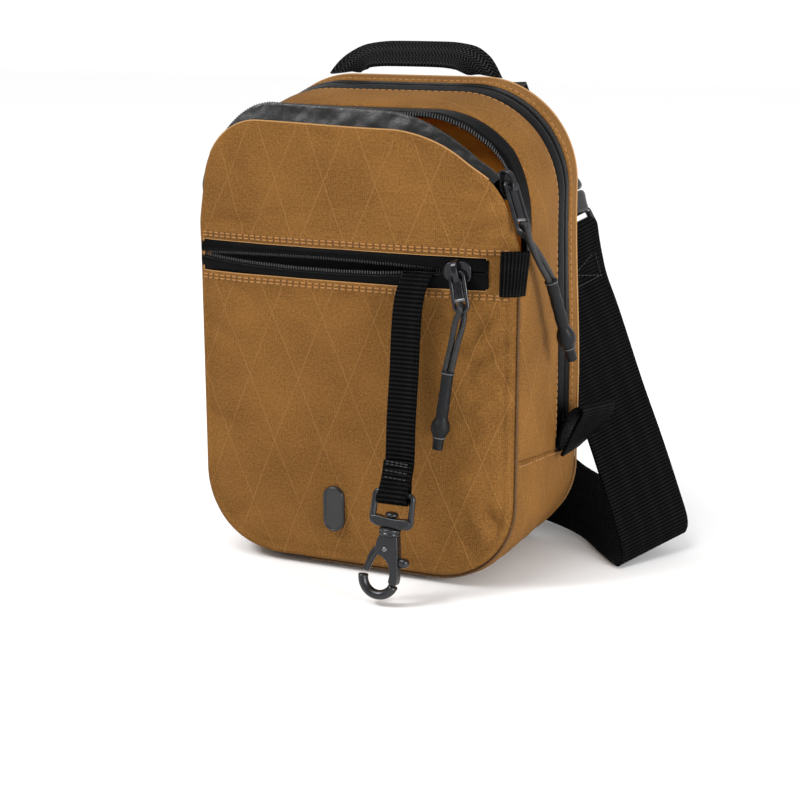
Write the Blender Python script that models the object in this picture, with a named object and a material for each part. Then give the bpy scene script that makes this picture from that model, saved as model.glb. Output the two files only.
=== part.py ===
"""Sling bag with a zipped front compartment, a key pocket, a leash clip, a grab handle and a shoulder strap.

Frame: X to the right, Y to the back, Z up. The origin is the centre of the flat base. The helpers take
millimetres and write metres. Soft shells are closed sheets, hardware is solid.
"""
import math

import bmesh
import bpy
from mathutils import Matrix, Vector

MM = 0.001

# Bag body
FRONT_Y = -35.0
REAR_Y = 36.0
FRONT_HALF = 69.0
REAR_HALF = 72.5
FRONT_TOP = 185.5
REAR_TOP = 197.8
FOOT_RADIUS = 34.0
FRONT_FOOT_RISE = 2.5
REAR_FOOT_RISE = 1.5
FOOT_ROLL = 7.0
REAR_RADIUS = 42.0
FRONT_RADIUS_RIGHT = 54.0
FRONT_RADIUS_LEFT = 26.0
CORNER_RUN = 18.0
SEAM_Z = 46.0
SHOULDER_Z = 130.0
MAIN_ZIP_END_Z = 95.0
SHELL = 1.5
GAP = 0.3

# Front panel
PANEL_BULGE = 4.5
PANEL_MID_Z = 90.0
PANEL_REACH_Z = 97.0
PANEL_INSET = 0.4
FOLD_LEFT = Vector((-69.0, -40.8, 141.0))
FOLD_RIGHT = Vector((58.0, -40.8, 161.0))
WINDOW = (-66.3, 57.0, 122.0, 135.0)
PAD_INSET = 16.0
PAD_THICK = 2.6

# Zips
TAPE = 0.8
COIL = 1.6
COIL_CLEAR = 1.2
COIL_WIDE = 1.1
RIM_TAPE = 9.0
MAIN_ZIP_FRONT = 11.6
MAIN_ZIP_REAR = 25.4
MAIN_ZIP_MID = 18.5
ZIP_SEAT = 0.4
SLIDER_LONG = 11.0
SLIDER_WIDE = 8.4
SLIDER_PLATE_IN = 1.3
SLIDER_PLATE_OUT = 2.4
SLIDER_NECK = 0.7
CROWN_HOLE = 3.7
RING_WIRE = 0.75
RING_WIDE = 5.5
CORD_RADIUS = 1.2
CORD_TURN = 2.3
FLAP_TAPE_LEAN = 0.3
FLAP_TAPE_LEFT = -64.0
FLAP_TAPE_RIGHT = 54.0
FLAP_TAPE_STEPS = 26
POCKET_ZIP_Z = 129.3
GAPE_UP = 1.0
GAPE_DOWN = 2.7
FRONT_SLIDER = Vector((60.6, -29.4, 161.8))
POCKET_SLIDER = Vector((46.0, -39.0, POCKET_ZIP_Z))
POCKET_SLOPE = 0.085
MAIN_SLIDER = Vector((-72.0 + ZIP_SEAT + TAPE / 2, MAIN_ZIP_MID, 106.0))

# Straps and hardware
STRAP_WIDE = 38.0
STRAP_THICK = 1.4
LEASH_WIDE = 12.0
HANDLE_WIDE = 15.0
BUCKLE_WIDE = 45.0
BAR_TURN = 3.5
BUCKLE_LOW = Vector((55.9, 63.0, 125.6))
BUCKLE_WAY = Vector((0.49, 0.0, -0.87)).normalized()
BUCKLE_SIDE = Vector((0.473, 0.837, 0.266))
LAID_Z = 19.9
HARDWARE_Z = 23.4
LEASH_PIVOT = Vector((30.6, -41.2, 128.0))
SWIVEL_TOP = Vector((28.6, -61.6, 43.4))
SWIVEL_WAY = Vector((-0.06, -0.17, -0.98)).normalized()
HOOK_PIN = (21.0, -0.5)
ROUND_STEPS = 16

# Colours
TAN = (0.46, 0.24, 0.07)
BLACK = (0.02, 0.02, 0.022)
COATED = (0.035, 0.037, 0.04)
ORANGE = (0.75, 0.22, 0.02)
GUNMETAL = (0.12, 0.12, 0.13)
GREY = (0.15, 0.15, 0.15)


def clear_scene():
    for old in list(bpy.data.objects):
        bpy.data.objects.remove(old, do_unlink=True)


def make_material(name, colour, roughness, metallic=0.0):
    material = bpy.data.materials.new(name)
    material.use_nodes = True
    shader = material.node_tree.nodes["Principled BSDF"]
    shader.inputs["Base Color"].default_value = (*colour, 1.0)
    shader.inputs["Roughness"].default_value = roughness
    shader.inputs["Metallic"].default_value = metallic
    return material


def frame_at(origin, along, outward):
    """A frame whose X runs along a direction and whose Z points outward."""
    x_axis = Vector(along).normalized()
    z_axis = Vector(outward) - Vector(outward).dot(x_axis) * x_axis
    z_axis.normalize()
    y_axis = z_axis.cross(x_axis)
    turn = Matrix((x_axis, y_axis, z_axis)).transposed().to_4x4()
    return Matrix.Translation(Vector(origin)) @ turn


def place(name, mesh_bm, look, frame=None, pivot=None, smooth=35.0):
    """Turn a mesh in millimetres into a named object. A pivot moves the object's origin, not its shape."""
    if pivot is not None:
        bmesh.ops.translate(mesh_bm, verts=mesh_bm.verts, vec=-Vector(pivot))
    bmesh.ops.scale(mesh_bm, verts=mesh_bm.verts, vec=(MM, MM, MM))
    mesh = bpy.data.meshes.new(name)
    mesh_bm.to_mesh(mesh)
    mesh_bm.free()
    mesh.shade_smooth()
    mesh.set_sharp_from_angle(angle=math.radians(smooth))
    obj = bpy.data.objects.new(name, mesh)
    bpy.context.scene.collection.objects.link(obj)
    if frame is not None:
        obj.matrix_world = Matrix.Translation(frame.translation * MM) @ frame.to_3x3().to_4x4()
    if pivot is not None:
        obj.location = Vector(pivot) * MM
    if look is not None:
        mesh.materials.append(make_material(name, *look))
    return obj


def solidify(obj, thickness, offset):
    modifier = obj.modifiers.new("thickness", "SOLIDIFY")
    modifier.thickness = thickness * MM
    modifier.offset = offset
    modifier.use_even_offset = True
    return obj


def bevel(obj, width, segments=2):
    modifier = obj.modifiers.new("edges", "BEVEL")
    modifier.width = width * MM
    modifier.segments = segments
    modifier.limit_method = "ANGLE"
    return obj


def combine(obj, tool, operation):
    """A Boolean with a hidden tool object."""
    modifier = obj.modifiers.new(operation.lower(), "BOOLEAN")
    modifier.operation = operation
    modifier.object = tool
    tool.hide_render = True
    tool.display_type = "WIRE"
    return obj


def box_bm(low, high):
    """A box from its two corners."""
    mesh_bm = bmesh.new()
    size = Vector(high) - Vector(low)
    middle = (Vector(high) + Vector(low)) / 2
    matrix = Matrix.Translation(middle) @ Matrix.Diagonal((*size, 1.0))
    bmesh.ops.create_cube(mesh_bm, size=1.0, matrix=matrix)
    return mesh_bm


def box(name, low, high, look, frame=None):
    return place(name, box_bm(low, high), look, frame)


def plate_bm(outline, low, high):
    """A flat outline in local X and Y, extruded from low to high along local Z."""
    mesh_bm = bmesh.new()
    verts = [mesh_bm.verts.new((x, y, low)) for x, y in outline]
    face = mesh_bm.faces.new(verts)
    grown = bmesh.ops.extrude_face_region(mesh_bm, geom=[face])
    moved = [item for item in grown["geom"] if isinstance(item, bmesh.types.BMVert)]
    bmesh.ops.translate(mesh_bm, verts=moved, vec=(0, 0, high - low))
    bmesh.ops.recalc_face_normals(mesh_bm, faces=mesh_bm.faces)
    return mesh_bm


def turned_bm(profile, steps=ROUND_STEPS):
    """A closed profile of (radius, height) pairs, turned around local Z. Its ends lie on the axis."""
    mesh_bm = bmesh.new()
    rings = []
    for radius, height in profile[1:-1]:
        ring = []
        for step in range(steps):
            angle = math.tau * step / steps
            ring.append(mesh_bm.verts.new((radius * math.cos(angle), radius * math.sin(angle), height)))
        rings.append(ring)
    for lower, upper in zip(rings, rings[1:]):
        for step in range(steps):
            after = (step + 1) % steps
            mesh_bm.faces.new((lower[step], lower[after], upper[after], upper[step]))
    mesh_bm.faces.new(list(reversed(rings[0])))
    mesh_bm.faces.new(rings[-1])
    bmesh.ops.recalc_face_normals(mesh_bm, faces=mesh_bm.faces)
    return mesh_bm


def sheet_bm(rows, closed=False):
    """A grid of points as one sheet of quads. closed joins the last row to the first."""
    mesh_bm = bmesh.new()
    grid = [[mesh_bm.verts.new(point) for point in row] for row in rows]
    pairs = list(zip(grid, grid[1:]))
    if closed:
        pairs.append((grid[-1], grid[0]))
    for near, far in pairs:
        for index in range(len(near) - 1):
            mesh_bm.faces.new((near[index], near[index + 1], far[index + 1], far[index]))
    return mesh_bm


def smooth_path(points, steps):
    """A Catmull-Rom curve through points of any length, as a list of tuples."""
    ends = [points[0]] + list(points) + [points[-1]]
    curve = []
    for index in range(1, len(ends) - 2):
        before, start, stop, after = ends[index - 1:index + 3]
        for step in range(steps):
            t = step / steps
            curve.append(tuple(
                0.5 * (2 * b + (c - a) * t + (2 * a - 5 * b + 4 * c - d) * t ** 2
                       + (3 * b - a - 3 * c + d) * t ** 3)
                for a, b, c, d in zip(before, start, stop, after)))
    curve.append(tuple(points[-1]))
    return curve


def ribbon(name, stations, thickness, look, steps=3, pivot=None):
    """Webbing through stations of (centre, half width vector), as one solid of even thickness."""
    packed = [(*centre, *half) for centre, half in stations]
    rows = []
    for x, y, z, u, v, w in smooth_path(packed, steps):
        centre = Vector((x, y, z))
        half = Vector((u, v, w))
        rows.append([centre - half, centre + half])
    return solidify(place(name, sheet_bm(rows), look, pivot=pivot), thickness, 0.0)


def tube(name, points, radius, look, closed=False, pivot=None, sides=2):
    """A round wire or cord along points, as a curve with a bevel and filled caps."""
    base = Vector(pivot) if pivot is not None else Vector((0, 0, 0))
    curve = bpy.data.curves.new(name, "CURVE")
    curve.dimensions = "3D"
    spline = curve.splines.new("POLY")
    spline.points.add(len(points) - 1)
    for slot, point in zip(spline.points, points):
        slot.co = (*((Vector(point) - base) * MM), 1.0)
    spline.use_cyclic_u = closed
    curve.bevel_depth = radius * MM
    curve.bevel_resolution = sides
    curve.use_fill_caps = True
    curve.materials.append(make_material(name, *look))
    obj = bpy.data.objects.new(name, curve)
    obj.location = base * MM
    bpy.context.scene.collection.objects.link(obj)
    return obj


# The bag's outline


def ramp(value, start, stop):
    return min(1.0, max(0.0, (value - start) / (stop - start)))


def mix(first, second, share):
    return first + (second - first) * share


def section(y):
    """Half width, top height and the two upper corner radii of the outline at depth y."""
    share = ramp(y, FRONT_Y, REAR_Y)
    corner = ramp(y, FRONT_Y, FRONT_Y + CORNER_RUN)
    half = mix(FRONT_HALF, REAR_HALF, share)
    top = mix(FRONT_TOP, REAR_TOP, share)
    right = mix(FRONT_RADIUS_RIGHT, REAR_RADIUS, corner)
    left = mix(FRONT_RADIUS_LEFT, REAR_RADIUS, corner)
    return half, top, right, left


def foot_height(y):
    """The base is flat, and rolls up a little towards its front and rear seams."""
    front = FRONT_FOOT_RISE * (1 - ramp(y, FRONT_Y, FRONT_Y + FOOT_ROLL))
    rear = REAR_FOOT_RISE * ramp(y, REAR_Y - FOOT_ROLL, REAR_Y)
    return max(front, rear)


ARC_STEPS = 9
TOP_STEPS = 6
FOOT_ARC_STEPS = 7
SIDE_LEVELS = (SEAM_Z + GAP, 70.0, MAIN_ZIP_END_Z - GAP, MAIN_ZIP_END_Z + GAP, SHOULDER_Z - 5.0, SHOULDER_Z)
RIGHT_SHOULDER = len(SIDE_LEVELS) - 1
ARCH_COUNT = 2 * len(SIDE_LEVELS) + 2 * (ARC_STEPS + 1) + TOP_STEPS - 1
LEFT_SHOULDER = ARCH_COUNT - 1 - RIGHT_SHOULDER


def arch(y):
    """Outline above the side seams: up the right side, over the top and down the left side."""
    half, top, right, left = section(y)
    points = [(half, level) for level in SIDE_LEVELS]
    for step in range(ARC_STEPS + 1):
        angle = math.pi / 2 * step / ARC_STEPS
        points.append((half - right + right * math.cos(angle), top - right + right * math.sin(angle)))
    for step in range(1, TOP_STEPS):
        points.append((mix(half - right, left - half, step / TOP_STEPS), top))
    for step in range(ARC_STEPS + 1):
        angle = math.pi / 2 * (1 + step / ARC_STEPS)
        points.append((left - half + left * math.cos(angle), top - left + left * math.sin(angle)))
    points += [(-half, level) for level in reversed(SIDE_LEVELS)]
    return points


def foot(y):
    """Outline below the side seams: down the left side, under the base and up the right side."""
    half = section(y)[0]
    low = foot_height(y)
    points = [(-half, SEAM_Z - GAP)]
    for step in range(FOOT_ARC_STEPS + 1):
        angle = math.pi * (1 + 0.5 * step / FOOT_ARC_STEPS)
        points.append((FOOT_RADIUS - half + FOOT_RADIUS * math.cos(angle),
                       low + FOOT_RADIUS * (1 + math.sin(angle))))
    points.append((0.0, low))
    points += [(-x, z) for x, z in reversed(points[:-1])]
    return points


def with_normals(points, closed):
    """Pair each outline point with its outward normal."""
    count = len(points)
    pairs = []
    for index, point in enumerate(points):
        before = points[index - 1] if index or closed else point
        after = points[(index + 1) % count] if index + 1 < count or closed else point
        run = Vector((after[0] - before[0], after[1] - before[1]))
        run.normalize()
        pairs.append((point, (run.y, -run.x)))
    return pairs


def loop(y):
    return arch(y) + foot(y)


def band(name, outline, edges, look, thickness=SHELL, inset=0.0, steps=3, puff=0.0, part=None, closed=False):
    """A fabric band that follows an outline, between two depths that edges(index) gives."""
    count = len(outline(0.0))
    chosen = range(count) if part is None else range(*part)
    rows = []
    for index in chosen:
        front, rear = edges(index)
        row = []
        for step in range(steps + 1):
            share = step / steps
            y = mix(front, rear, share)
            (x, z), (nx, nz) = with_normals(outline(y), closed)[index]
            out = puff * 4 * share * (1 - share) - inset
            row.append((x + nx * out, y, z + nz * out))
        rows.append(row)
    return solidify(place(name, sheet_bm(rows, closed), look), thickness, -1.0)


def panel_surface(x, z):
    """Depth of the front panel's inner face."""
    across = 1 - abs(x / FRONT_HALF) ** 3
    up = 1 - abs((z - PANEL_MID_Z) / PANEL_REACH_Z) ** 4
    return FRONT_Y - 0.2 - PANEL_BULGE * max(0.0, across) * max(0.0, up)


def outline_low(x):
    reach = max(0.0, abs(x) - (FRONT_HALF - FOOT_RADIUS))
    return FRONT_FOOT_RISE + PANEL_INSET + FOOT_RADIUS - math.sqrt(FOOT_RADIUS ** 2 - reach ** 2)


def outline_high(x):
    radius = FRONT_RADIUS_RIGHT if x > 0 else FRONT_RADIUS_LEFT
    reach = max(0.0, abs(x) - (FRONT_HALF - radius))
    return FRONT_TOP - PANEL_INSET - radius + math.sqrt(radius ** 2 - reach ** 2)


def fold_height(x):
    run = FOLD_RIGHT - FOLD_LEFT
    return FOLD_LEFT.z + run.z * (x - FOLD_LEFT.x) / run.x


def panel_sheet(name, x_low, x_high, low, high, look, columns, rows, lift=0.0, thickness=SHELL):
    """Part of the front panel between two heights that depend on x. lift raises it off the surface."""
    grid = []
    for column in range(columns + 1):
        share = 0.5 - 0.5 * math.cos(math.pi * column / columns)
        x = mix(x_low, x_high, share)
        bottom = low(x)
        top = high(x)
        line = []
        for row in range(rows + 1):
            z = mix(bottom, top, row / rows)
            line.append((x, panel_surface(x, z) - lift, z))
        grid.append(line)
    return solidify(place(name, sheet_bm(grid), look), thickness, -1.0)


# Fabric shells


def front_gusset_edge(index):
    """Front edge of the front gusset: on the front seam below the shoulders, set back above them."""
    if index < RIGHT_SHOULDER or index > LEFT_SHOULDER:
        return FRONT_Y + GAP
    near = min(index - RIGHT_SHOULDER, LEFT_SHOULDER - index)
    return mix(FRONT_Y + RIM_TAPE + 2 * GAP, -17.0, ramp(near, 0, 5))


def left_leg_below_zip(index):
    return index > LEFT_SHOULDER + 2


def make_shell():
    tan = (TAN, 0.75)
    band("front_gusset", arch,
         lambda i: (front_gusset_edge(i), MAIN_ZIP_MID - GAP if left_leg_below_zip(i) else MAIN_ZIP_FRONT - GAP),
         tan, puff=0.8, steps=4)
    band("rear_gusset", arch,
         lambda i: (MAIN_ZIP_MID + GAP if left_leg_below_zip(i) else MAIN_ZIP_REAR + GAP, REAR_Y - 2 * GAP),
         tan, steps=2)
    foot_depths = (FRONT_Y + GAP, FRONT_Y + FOOT_ROLL, 0.0, REAR_Y - FOOT_ROLL, REAR_Y - 2 * GAP)
    rows = []
    for index in range(len(foot(0.0))):
        rows.append([(foot(y)[index][0], y, foot(y)[index][1]) for y in foot_depths])
    solidify(place("bottom_gusset", sheet_bm(rows), tan), SHELL, -1.0)
    panel_sheet("front_panel", -FRONT_HALF + PANEL_INSET, FRONT_HALF - PANEL_INSET, outline_low,
                lambda x: min(fold_height(x) - GAP, outline_high(x)), tan, 20, 12)
    left, right, low, high = WINDOW
    window = box("pocket_window_cutter", (left, -60, low), (right, -20, high), None)
    combine(bpy.data.objects["front_panel"], window, "DIFFERENCE")
    flap = panel_sheet("front_flap", -FRONT_HALF + PANEL_INSET, FOLD_RIGHT.x, lambda x: fold_height(x) + GAP,
                       outline_high, tan, 18, 5)
    move_origin(flap, FOLD_LEFT)
    make_back()
    make_linings()


def move_origin(obj, pivot):
    """Put an object's origin on its joint axis without moving its shape."""
    shift = Vector(pivot) * MM
    obj.data.transform(Matrix.Translation(-shift))
    obj.location = shift


def loop_plate(name, y, thickness, inset, look):
    """A flat plate that fills the outline at depth y, less an inset."""
    points = []
    for (x, z), (nx, nz) in with_normals(loop(y), True):
        points.append((x - nx * inset, z - nz * inset))
    frame = Matrix.Translation((0, y + thickness, 0)) @ Matrix.Rotation(math.pi / 2, 4, "X")
    return place(name, plate_bm(points, 0, thickness), look, frame)


def make_back():
    loop_plate("back_panel", REAR_Y, SHELL, 0.5, (TAN, 0.75))
    pad = loop_plate("back_pad", REAR_Y + SHELL + GAP, PAD_THICK, PAD_INSET, (BLACK, 0.9))
    bevel(pad, 1.2, 2)
    loop_plate("back_foam", REAR_Y - 3.4, 2.6, 5.0, (GREY, 0.9))


def make_linings():
    orange = (ORANGE, 0.8)
    band("front_lining", loop, lambda i: (front_lining_edge(i), -5.2), orange, thickness=0.5, inset=2.2, steps=2,
         closed=True)
    loop_plate("divider_panel", -4.8, 1.2, 2.4, orange)
    band("main_lining", loop, lambda i: (-3.2, 32.0), orange, thickness=0.5, inset=3.4, steps=2, closed=True)


def front_lining_edge(index):
    if RIGHT_SHOULDER <= index <= LEFT_SHOULDER:
        return -15.0
    return FRONT_Y + 1.0


# Zips


def strip_profile(name, outline, part, profile, look, seat=ZIP_SEAT):
    """A profile of (depth, outward) corners swept along an outline. The depths may depend on the index."""
    mesh_bm = bmesh.new()
    rings = []
    for index in range(*part):
        ring = []
        for y, out in profile(index):
            (x, z), (nx, nz) = with_normals(outline(y), False)[index]
            ring.append(mesh_bm.verts.new((x + nx * (out - seat), y, z + nz * (out - seat))))
        rings.append(ring)
    for near, far in zip(rings, rings[1:]):
        for corner in range(len(near)):
            after = (corner + 1) % len(near)
            mesh_bm.faces.new((near[corner], near[after], far[after], far[corner]))
    mesh_bm.faces.new(list(reversed(rings[0])))
    mesh_bm.faces.new(rings[-1])
    bmesh.ops.recalc_face_normals(mesh_bm, faces=mesh_bm.faces)
    return place(name, mesh_bm, look)


def rectangle(low_y, high_y, low_out, high_out):
    return [(low_y, low_out), (high_y, low_out), (high_y, high_out), (low_y, high_out)]


def make_main_zip():
    coated = (COATED, 0.35)
    part = (0, LEFT_SHOULDER + 3)
    coil_front = MAIN_ZIP_MID - COIL_CLEAR
    coil_rear = MAIN_ZIP_MID + COIL_CLEAR
    coil_low = -(TAPE + COIL) / 2
    coil_high = (COIL - TAPE) / 2
    strip_profile("main_zip_tape_front", arch, part,
                  lambda i: rectangle(MAIN_ZIP_FRONT, coil_front - COIL_WIDE - GAP, -TAPE, 0), coated)
    strip_profile("main_zip_coil_front", arch, part,
                  lambda i: rectangle(coil_front - COIL_WIDE, coil_front, coil_low, coil_high), coated)
    strip_profile("main_zip_tape_rear", arch, part,
                  lambda i: rectangle(coil_rear + COIL_WIDE + GAP, MAIN_ZIP_REAR, -TAPE, 0), coated)
    strip_profile("main_zip_coil_rear", arch, part,
                  lambda i: rectangle(coil_rear, coil_rear + COIL_WIDE, coil_low, coil_high), coated)


def make_front_zip():
    """The open zip of the front compartment: one half on the gusset's rim, the other on the flap."""
    coated = (COATED, 0.35)
    part = (RIGHT_SHOULDER, LEFT_SHOULDER + 1)
    coil_part = (RIGHT_SHOULDER + 5, LEFT_SHOULDER + 1)
    strip_profile("rim_zip_tape", arch, part,
                  lambda i: rectangle(front_gusset_edge(i) - RIM_TAPE + 2 * GAP + COIL_WIDE,
                                      front_gusset_edge(i) - GAP, -TAPE, 0), coated)
    strip_profile("rim_zip_coil", arch, coil_part,
                  lambda i: rectangle(front_gusset_edge(i) - RIM_TAPE + GAP,
                                      front_gusset_edge(i) - RIM_TAPE + GAP + COIL_WIDE,
                                      -(TAPE + COIL) / 2, (COIL - TAPE) / 2), coated)
    rows = flap_tape_rows(0.0, RIM_TAPE - COIL_WIDE)
    solidify(place("flap_zip_tape", sheet_bm(rows), coated, pivot=FOLD_LEFT), TAPE, 0.0)
    rows = flap_tape_rows(RIM_TAPE - COIL_WIDE + GAP, RIM_TAPE)
    solidify(place("flap_zip_coil", sheet_bm(rows), coated, pivot=FOLD_LEFT), COIL, 0.0)


def flap_tape_rows(start, stop):
    """The tape stands up behind the flap's edge and leans back over the opening."""
    rows = []
    for step in range(FLAP_TAPE_STEPS + 1):
        share = 0.5 - 0.5 * math.cos(math.pi * step / FLAP_TAPE_STEPS)
        x = mix(FLAP_TAPE_LEFT, FLAP_TAPE_RIGHT, share)
        edge = outline_high(x)
        slope = (outline_high(x + 0.5) - outline_high(x - 0.5)) / 1.0
        out = Vector((-slope, 0, 1)).normalized()
        lean = Vector((out.x, FLAP_TAPE_LEAN, out.z)).normalized()
        taper = 1 - 0.55 * ramp(x, 25.0, FLAP_TAPE_RIGHT)
        root = Vector((x, panel_surface(x, edge) + 0.9, edge)) - out * 1.5
        rows.append([tuple(root + lean * start * taper), tuple(root + lean * stop * taper)])
    return rows


def pocket_gape(x):
    """How far the pocket zip gapes at x, from 0 at its ends to 1 in the middle."""
    share = ramp(x, WINDOW[0], 40.0)
    return math.sqrt(math.sin(math.pi * share)) if 0 < share < 1 else 0.0


def pocket_upper_edge(x):
    return POCKET_ZIP_Z + COIL_CLEAR + GAPE_UP * pocket_gape(x)


def pocket_lower_edge(x):
    return POCKET_ZIP_Z - COIL_CLEAR - GAPE_DOWN * pocket_gape(x)


def make_pocket_zip():
    coated = (COATED, 0.35)
    left, right, low, high = WINDOW
    left += GAP
    right -= GAP
    raised = 0.3
    panel_sheet("pocket_zip_tape_upper", left, right, lambda x: pocket_upper_edge(x) + COIL_WIDE + GAP,
                lambda x: high - GAP, coated, 20, 1, raised, TAPE)
    panel_sheet("pocket_zip_coil_upper", left, right, pocket_upper_edge,
                lambda x: pocket_upper_edge(x) + COIL_WIDE, coated, 20, 1, raised - 0.4, COIL)
    panel_sheet("pocket_zip_tape_lower", left, right, lambda x: low + GAP,
                lambda x: pocket_lower_edge(x) - COIL_WIDE - GAP, coated, 20, 1, raised, TAPE)
    panel_sheet("pocket_zip_coil_lower", left, right, lambda x: pocket_lower_edge(x) - COIL_WIDE,
                pocket_lower_edge, coated, 20, 1, raised - 0.4, COIL)
    wall = 0.8
    pouch = box("pocket_bag", (-64, -34, 62), (55, -27, 137), (ORANGE, 0.8))
    inside = box("pocket_cavity_cutter", (-64 + wall, -34 + wall, 62 + wall), (55 - wall, -27 - wall, 137 - wall), None)
    mouth = box("pocket_mouth_cutter", (-64 + wall, -36, low + 0.5), (55 - wall, -31, high + 0.5), None)
    combine(pouch, inside, "DIFFERENCE")
    combine(pouch, mouth, "DIFFERENCE")


def slider(name, origin, along, outward, pull_way):
    """A zip slider: two plates on a neck, with a crown that carries the pull ring."""
    frame = frame_at(origin, along, outward)
    half = SLIDER_WIDE / 2
    outline = [(-half, SLIDER_PLATE_IN), (-SLIDER_NECK, SLIDER_PLATE_IN), (-SLIDER_NECK, -SLIDER_PLATE_IN),
               (-half, -SLIDER_PLATE_IN), (-half, -SLIDER_PLATE_OUT), (half, -SLIDER_PLATE_OUT),
               (half, -SLIDER_PLATE_IN), (SLIDER_NECK, -SLIDER_PLATE_IN), (SLIDER_NECK, SLIDER_PLATE_IN),
               (half, SLIDER_PLATE_IN), (half, SLIDER_PLATE_OUT), (-half, SLIDER_PLATE_OUT)]
    beam = plate_bm(outline, -SLIDER_LONG / 2, SLIDER_LONG / 2)
    standing = Matrix.Rotation(math.pi / 2, 4, "Z") @ Matrix.Rotation(math.pi / 2, 4, "X")
    bmesh.ops.transform(beam, verts=beam.verts, matrix=standing)
    body = place(name, beam, (GUNMETAL, 0.3, 1.0), frame)
    crown_frame = frame_at(origin, pull_way, outward)
    arch_outline = [(-4.0, 1.9), (-4.0, 4.6), (-2.9, 5.7), (2.9, 5.7), (4.0, 4.6), (4.0, 1.9),
                    (2.2, 1.9), (2.2, 4.2), (1.8, 4.6), (-1.8, 4.6), (-2.2, 4.2), (-2.2, 1.9)]
    crown_bm = plate_bm(arch_outline, -0.9, 0.9)
    bmesh.ops.transform(crown_bm, verts=crown_bm.verts, matrix=Matrix.Rotation(math.pi / 2, 4, "X"))
    crown = place(name + "_crown_tool", crown_bm, None, crown_frame)
    combine(body, crown, "UNION")
    return crown_frame


def ring_path(hinge, far, across):
    """The long pull ring: a stadium from the hinge to its far bar."""
    way = (far - hinge).normalized()
    half = RING_WIDE / 2
    corner = 1.6
    reach = (far - hinge).length
    flat = [(0, half - corner), (0, -half + corner), (corner * 0.3, -half + corner * 0.3), (corner, -half),
            (reach - corner, -half), (reach - corner * 0.3, -half + corner * 0.3), (reach, -half + corner),
            (reach, half - corner), (reach - corner * 0.3, half - corner * 0.3), (reach - corner, half),
            (corner, half), (corner * 0.3, half - corner * 0.3)]
    return [hinge + way * u + across * v for u, v in flat]


def cord_path(bar, ring_way, mouth, outward):
    """A doubled cord: up from the sleeve's mouth, over the ring's far bar and back down, with a quarter twist."""
    side = outward
    half_turn = [(CORD_TURN, 0), (0.71 * CORD_TURN, 0.71 * CORD_TURN), (0, CORD_TURN),
                 (-0.71 * CORD_TURN, 0.71 * CORD_TURN), (-CORD_TURN, 0)]
    over = [bar + side * s - ring_way * r for s, r in half_turn]
    way = (mouth - bar).normalized()
    near_bar = bar + way * 5.0
    spread = CORD_RADIUS + 0.15
    beside = way.cross(side).normalized()
    twisted = (side + beside).normalized()
    up = [mouth + beside * spread, mix(near_bar, mouth, 0.5) + beside * spread, near_bar + twisted * spread * 1.3]
    down = [near_bar - twisted * spread * 1.3, mix(near_bar, mouth, 0.5) - beside * spread, mouth - beside * spread]
    return smooth_path([tuple(point) for point in up + over + down], 2)


def pull(prefix, crown_frame, far, mouth, tail, outward):
    """The ring, the doubled cord and the shrunk sleeve with its knot, all hung from one slider."""
    out = Vector(outward).normalized()
    hinge = crown_frame @ Vector((0, 0, CROWN_HOLE))
    far = Vector(far)
    mouth = Vector(mouth)
    tail = Vector(tail)
    way = (far - hinge).normalized()
    across = way.cross(out).normalized()
    lift = across.cross(way)
    tube(prefix + "_pull_ring", ring_path(hinge, far, across), RING_WIRE, (GUNMETAL, 0.35, 1.0), True, hinge)
    tube(prefix + "_pull_cord", cord_path(far, way, mouth, lift), CORD_RADIUS, (BLACK, 0.8), False, hinge)
    length = (tail - mouth).length
    profile = [(0, 1.1), (2.1, 1.1), (2.4, 1.7), (2.4, length * 0.55), (2.7, length * 0.62), (3.7, length * 0.69),
               (3.8, length * 0.75), (2.8, length * 0.82), (2.2, length * 0.86), (2.0, length), (0, length)]
    sleeve = place(prefix + "_pull_sleeve", turned_bm(profile, 12), (GREY, 0.5),
                   Matrix.Translation(mouth) @ (tail - mouth).to_track_quat("Z", "X").to_matrix().to_4x4())
    move_origin_to(sleeve, hinge)
    return hinge, across


def move_origin_to(obj, pivot):
    """Re-base a rotated object on a pivot in millimetres, keeping its shape in place."""
    world = obj.matrix_world.copy()
    shift = world.inverted() @ (Vector(pivot) * MM)
    obj.data.transform(Matrix.Translation(-shift))
    obj.matrix_world = Matrix.Translation(Vector(pivot) * MM) @ world.to_3x3().to_4x4()


def make_sliders():
    crown = slider("pocket_zip_slider", POCKET_SLIDER, (1, POCKET_SLOPE, 0), (POCKET_SLOPE, -1, 0), (0.25, 0, -1))
    pull("pocket", crown, (49.6, -45.0, 115.0), (44.6, -46.0, 91.5), (40.6, -46.8, 59.8), (0, -1, 0))
    crown = slider("main_zip_slider", MAIN_SLIDER, (0, 0, 1), (-1, 0, 0), (0, 0, -1))
    pull("main", crown, (-75.9, MAIN_ZIP_MID, 90.5), (-76.4, MAIN_ZIP_MID, 66.0),
         (-76.4, MAIN_ZIP_MID, 33.0), (-1, 0, 0))
    crown = slider("front_zip_slider", FRONT_SLIDER, (0.36, -0.16, -0.92), (0.80, -0.50, 0.30),
                   (0.45, -0.15, -0.88))
    pull("front", crown, (71.0, -36.4, 146.0), (77.6, -22.6, 125.6), (82.8, -8.4, 91.4), (0.85, -0.5, 0.1))


# Loops, badge and handle


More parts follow.
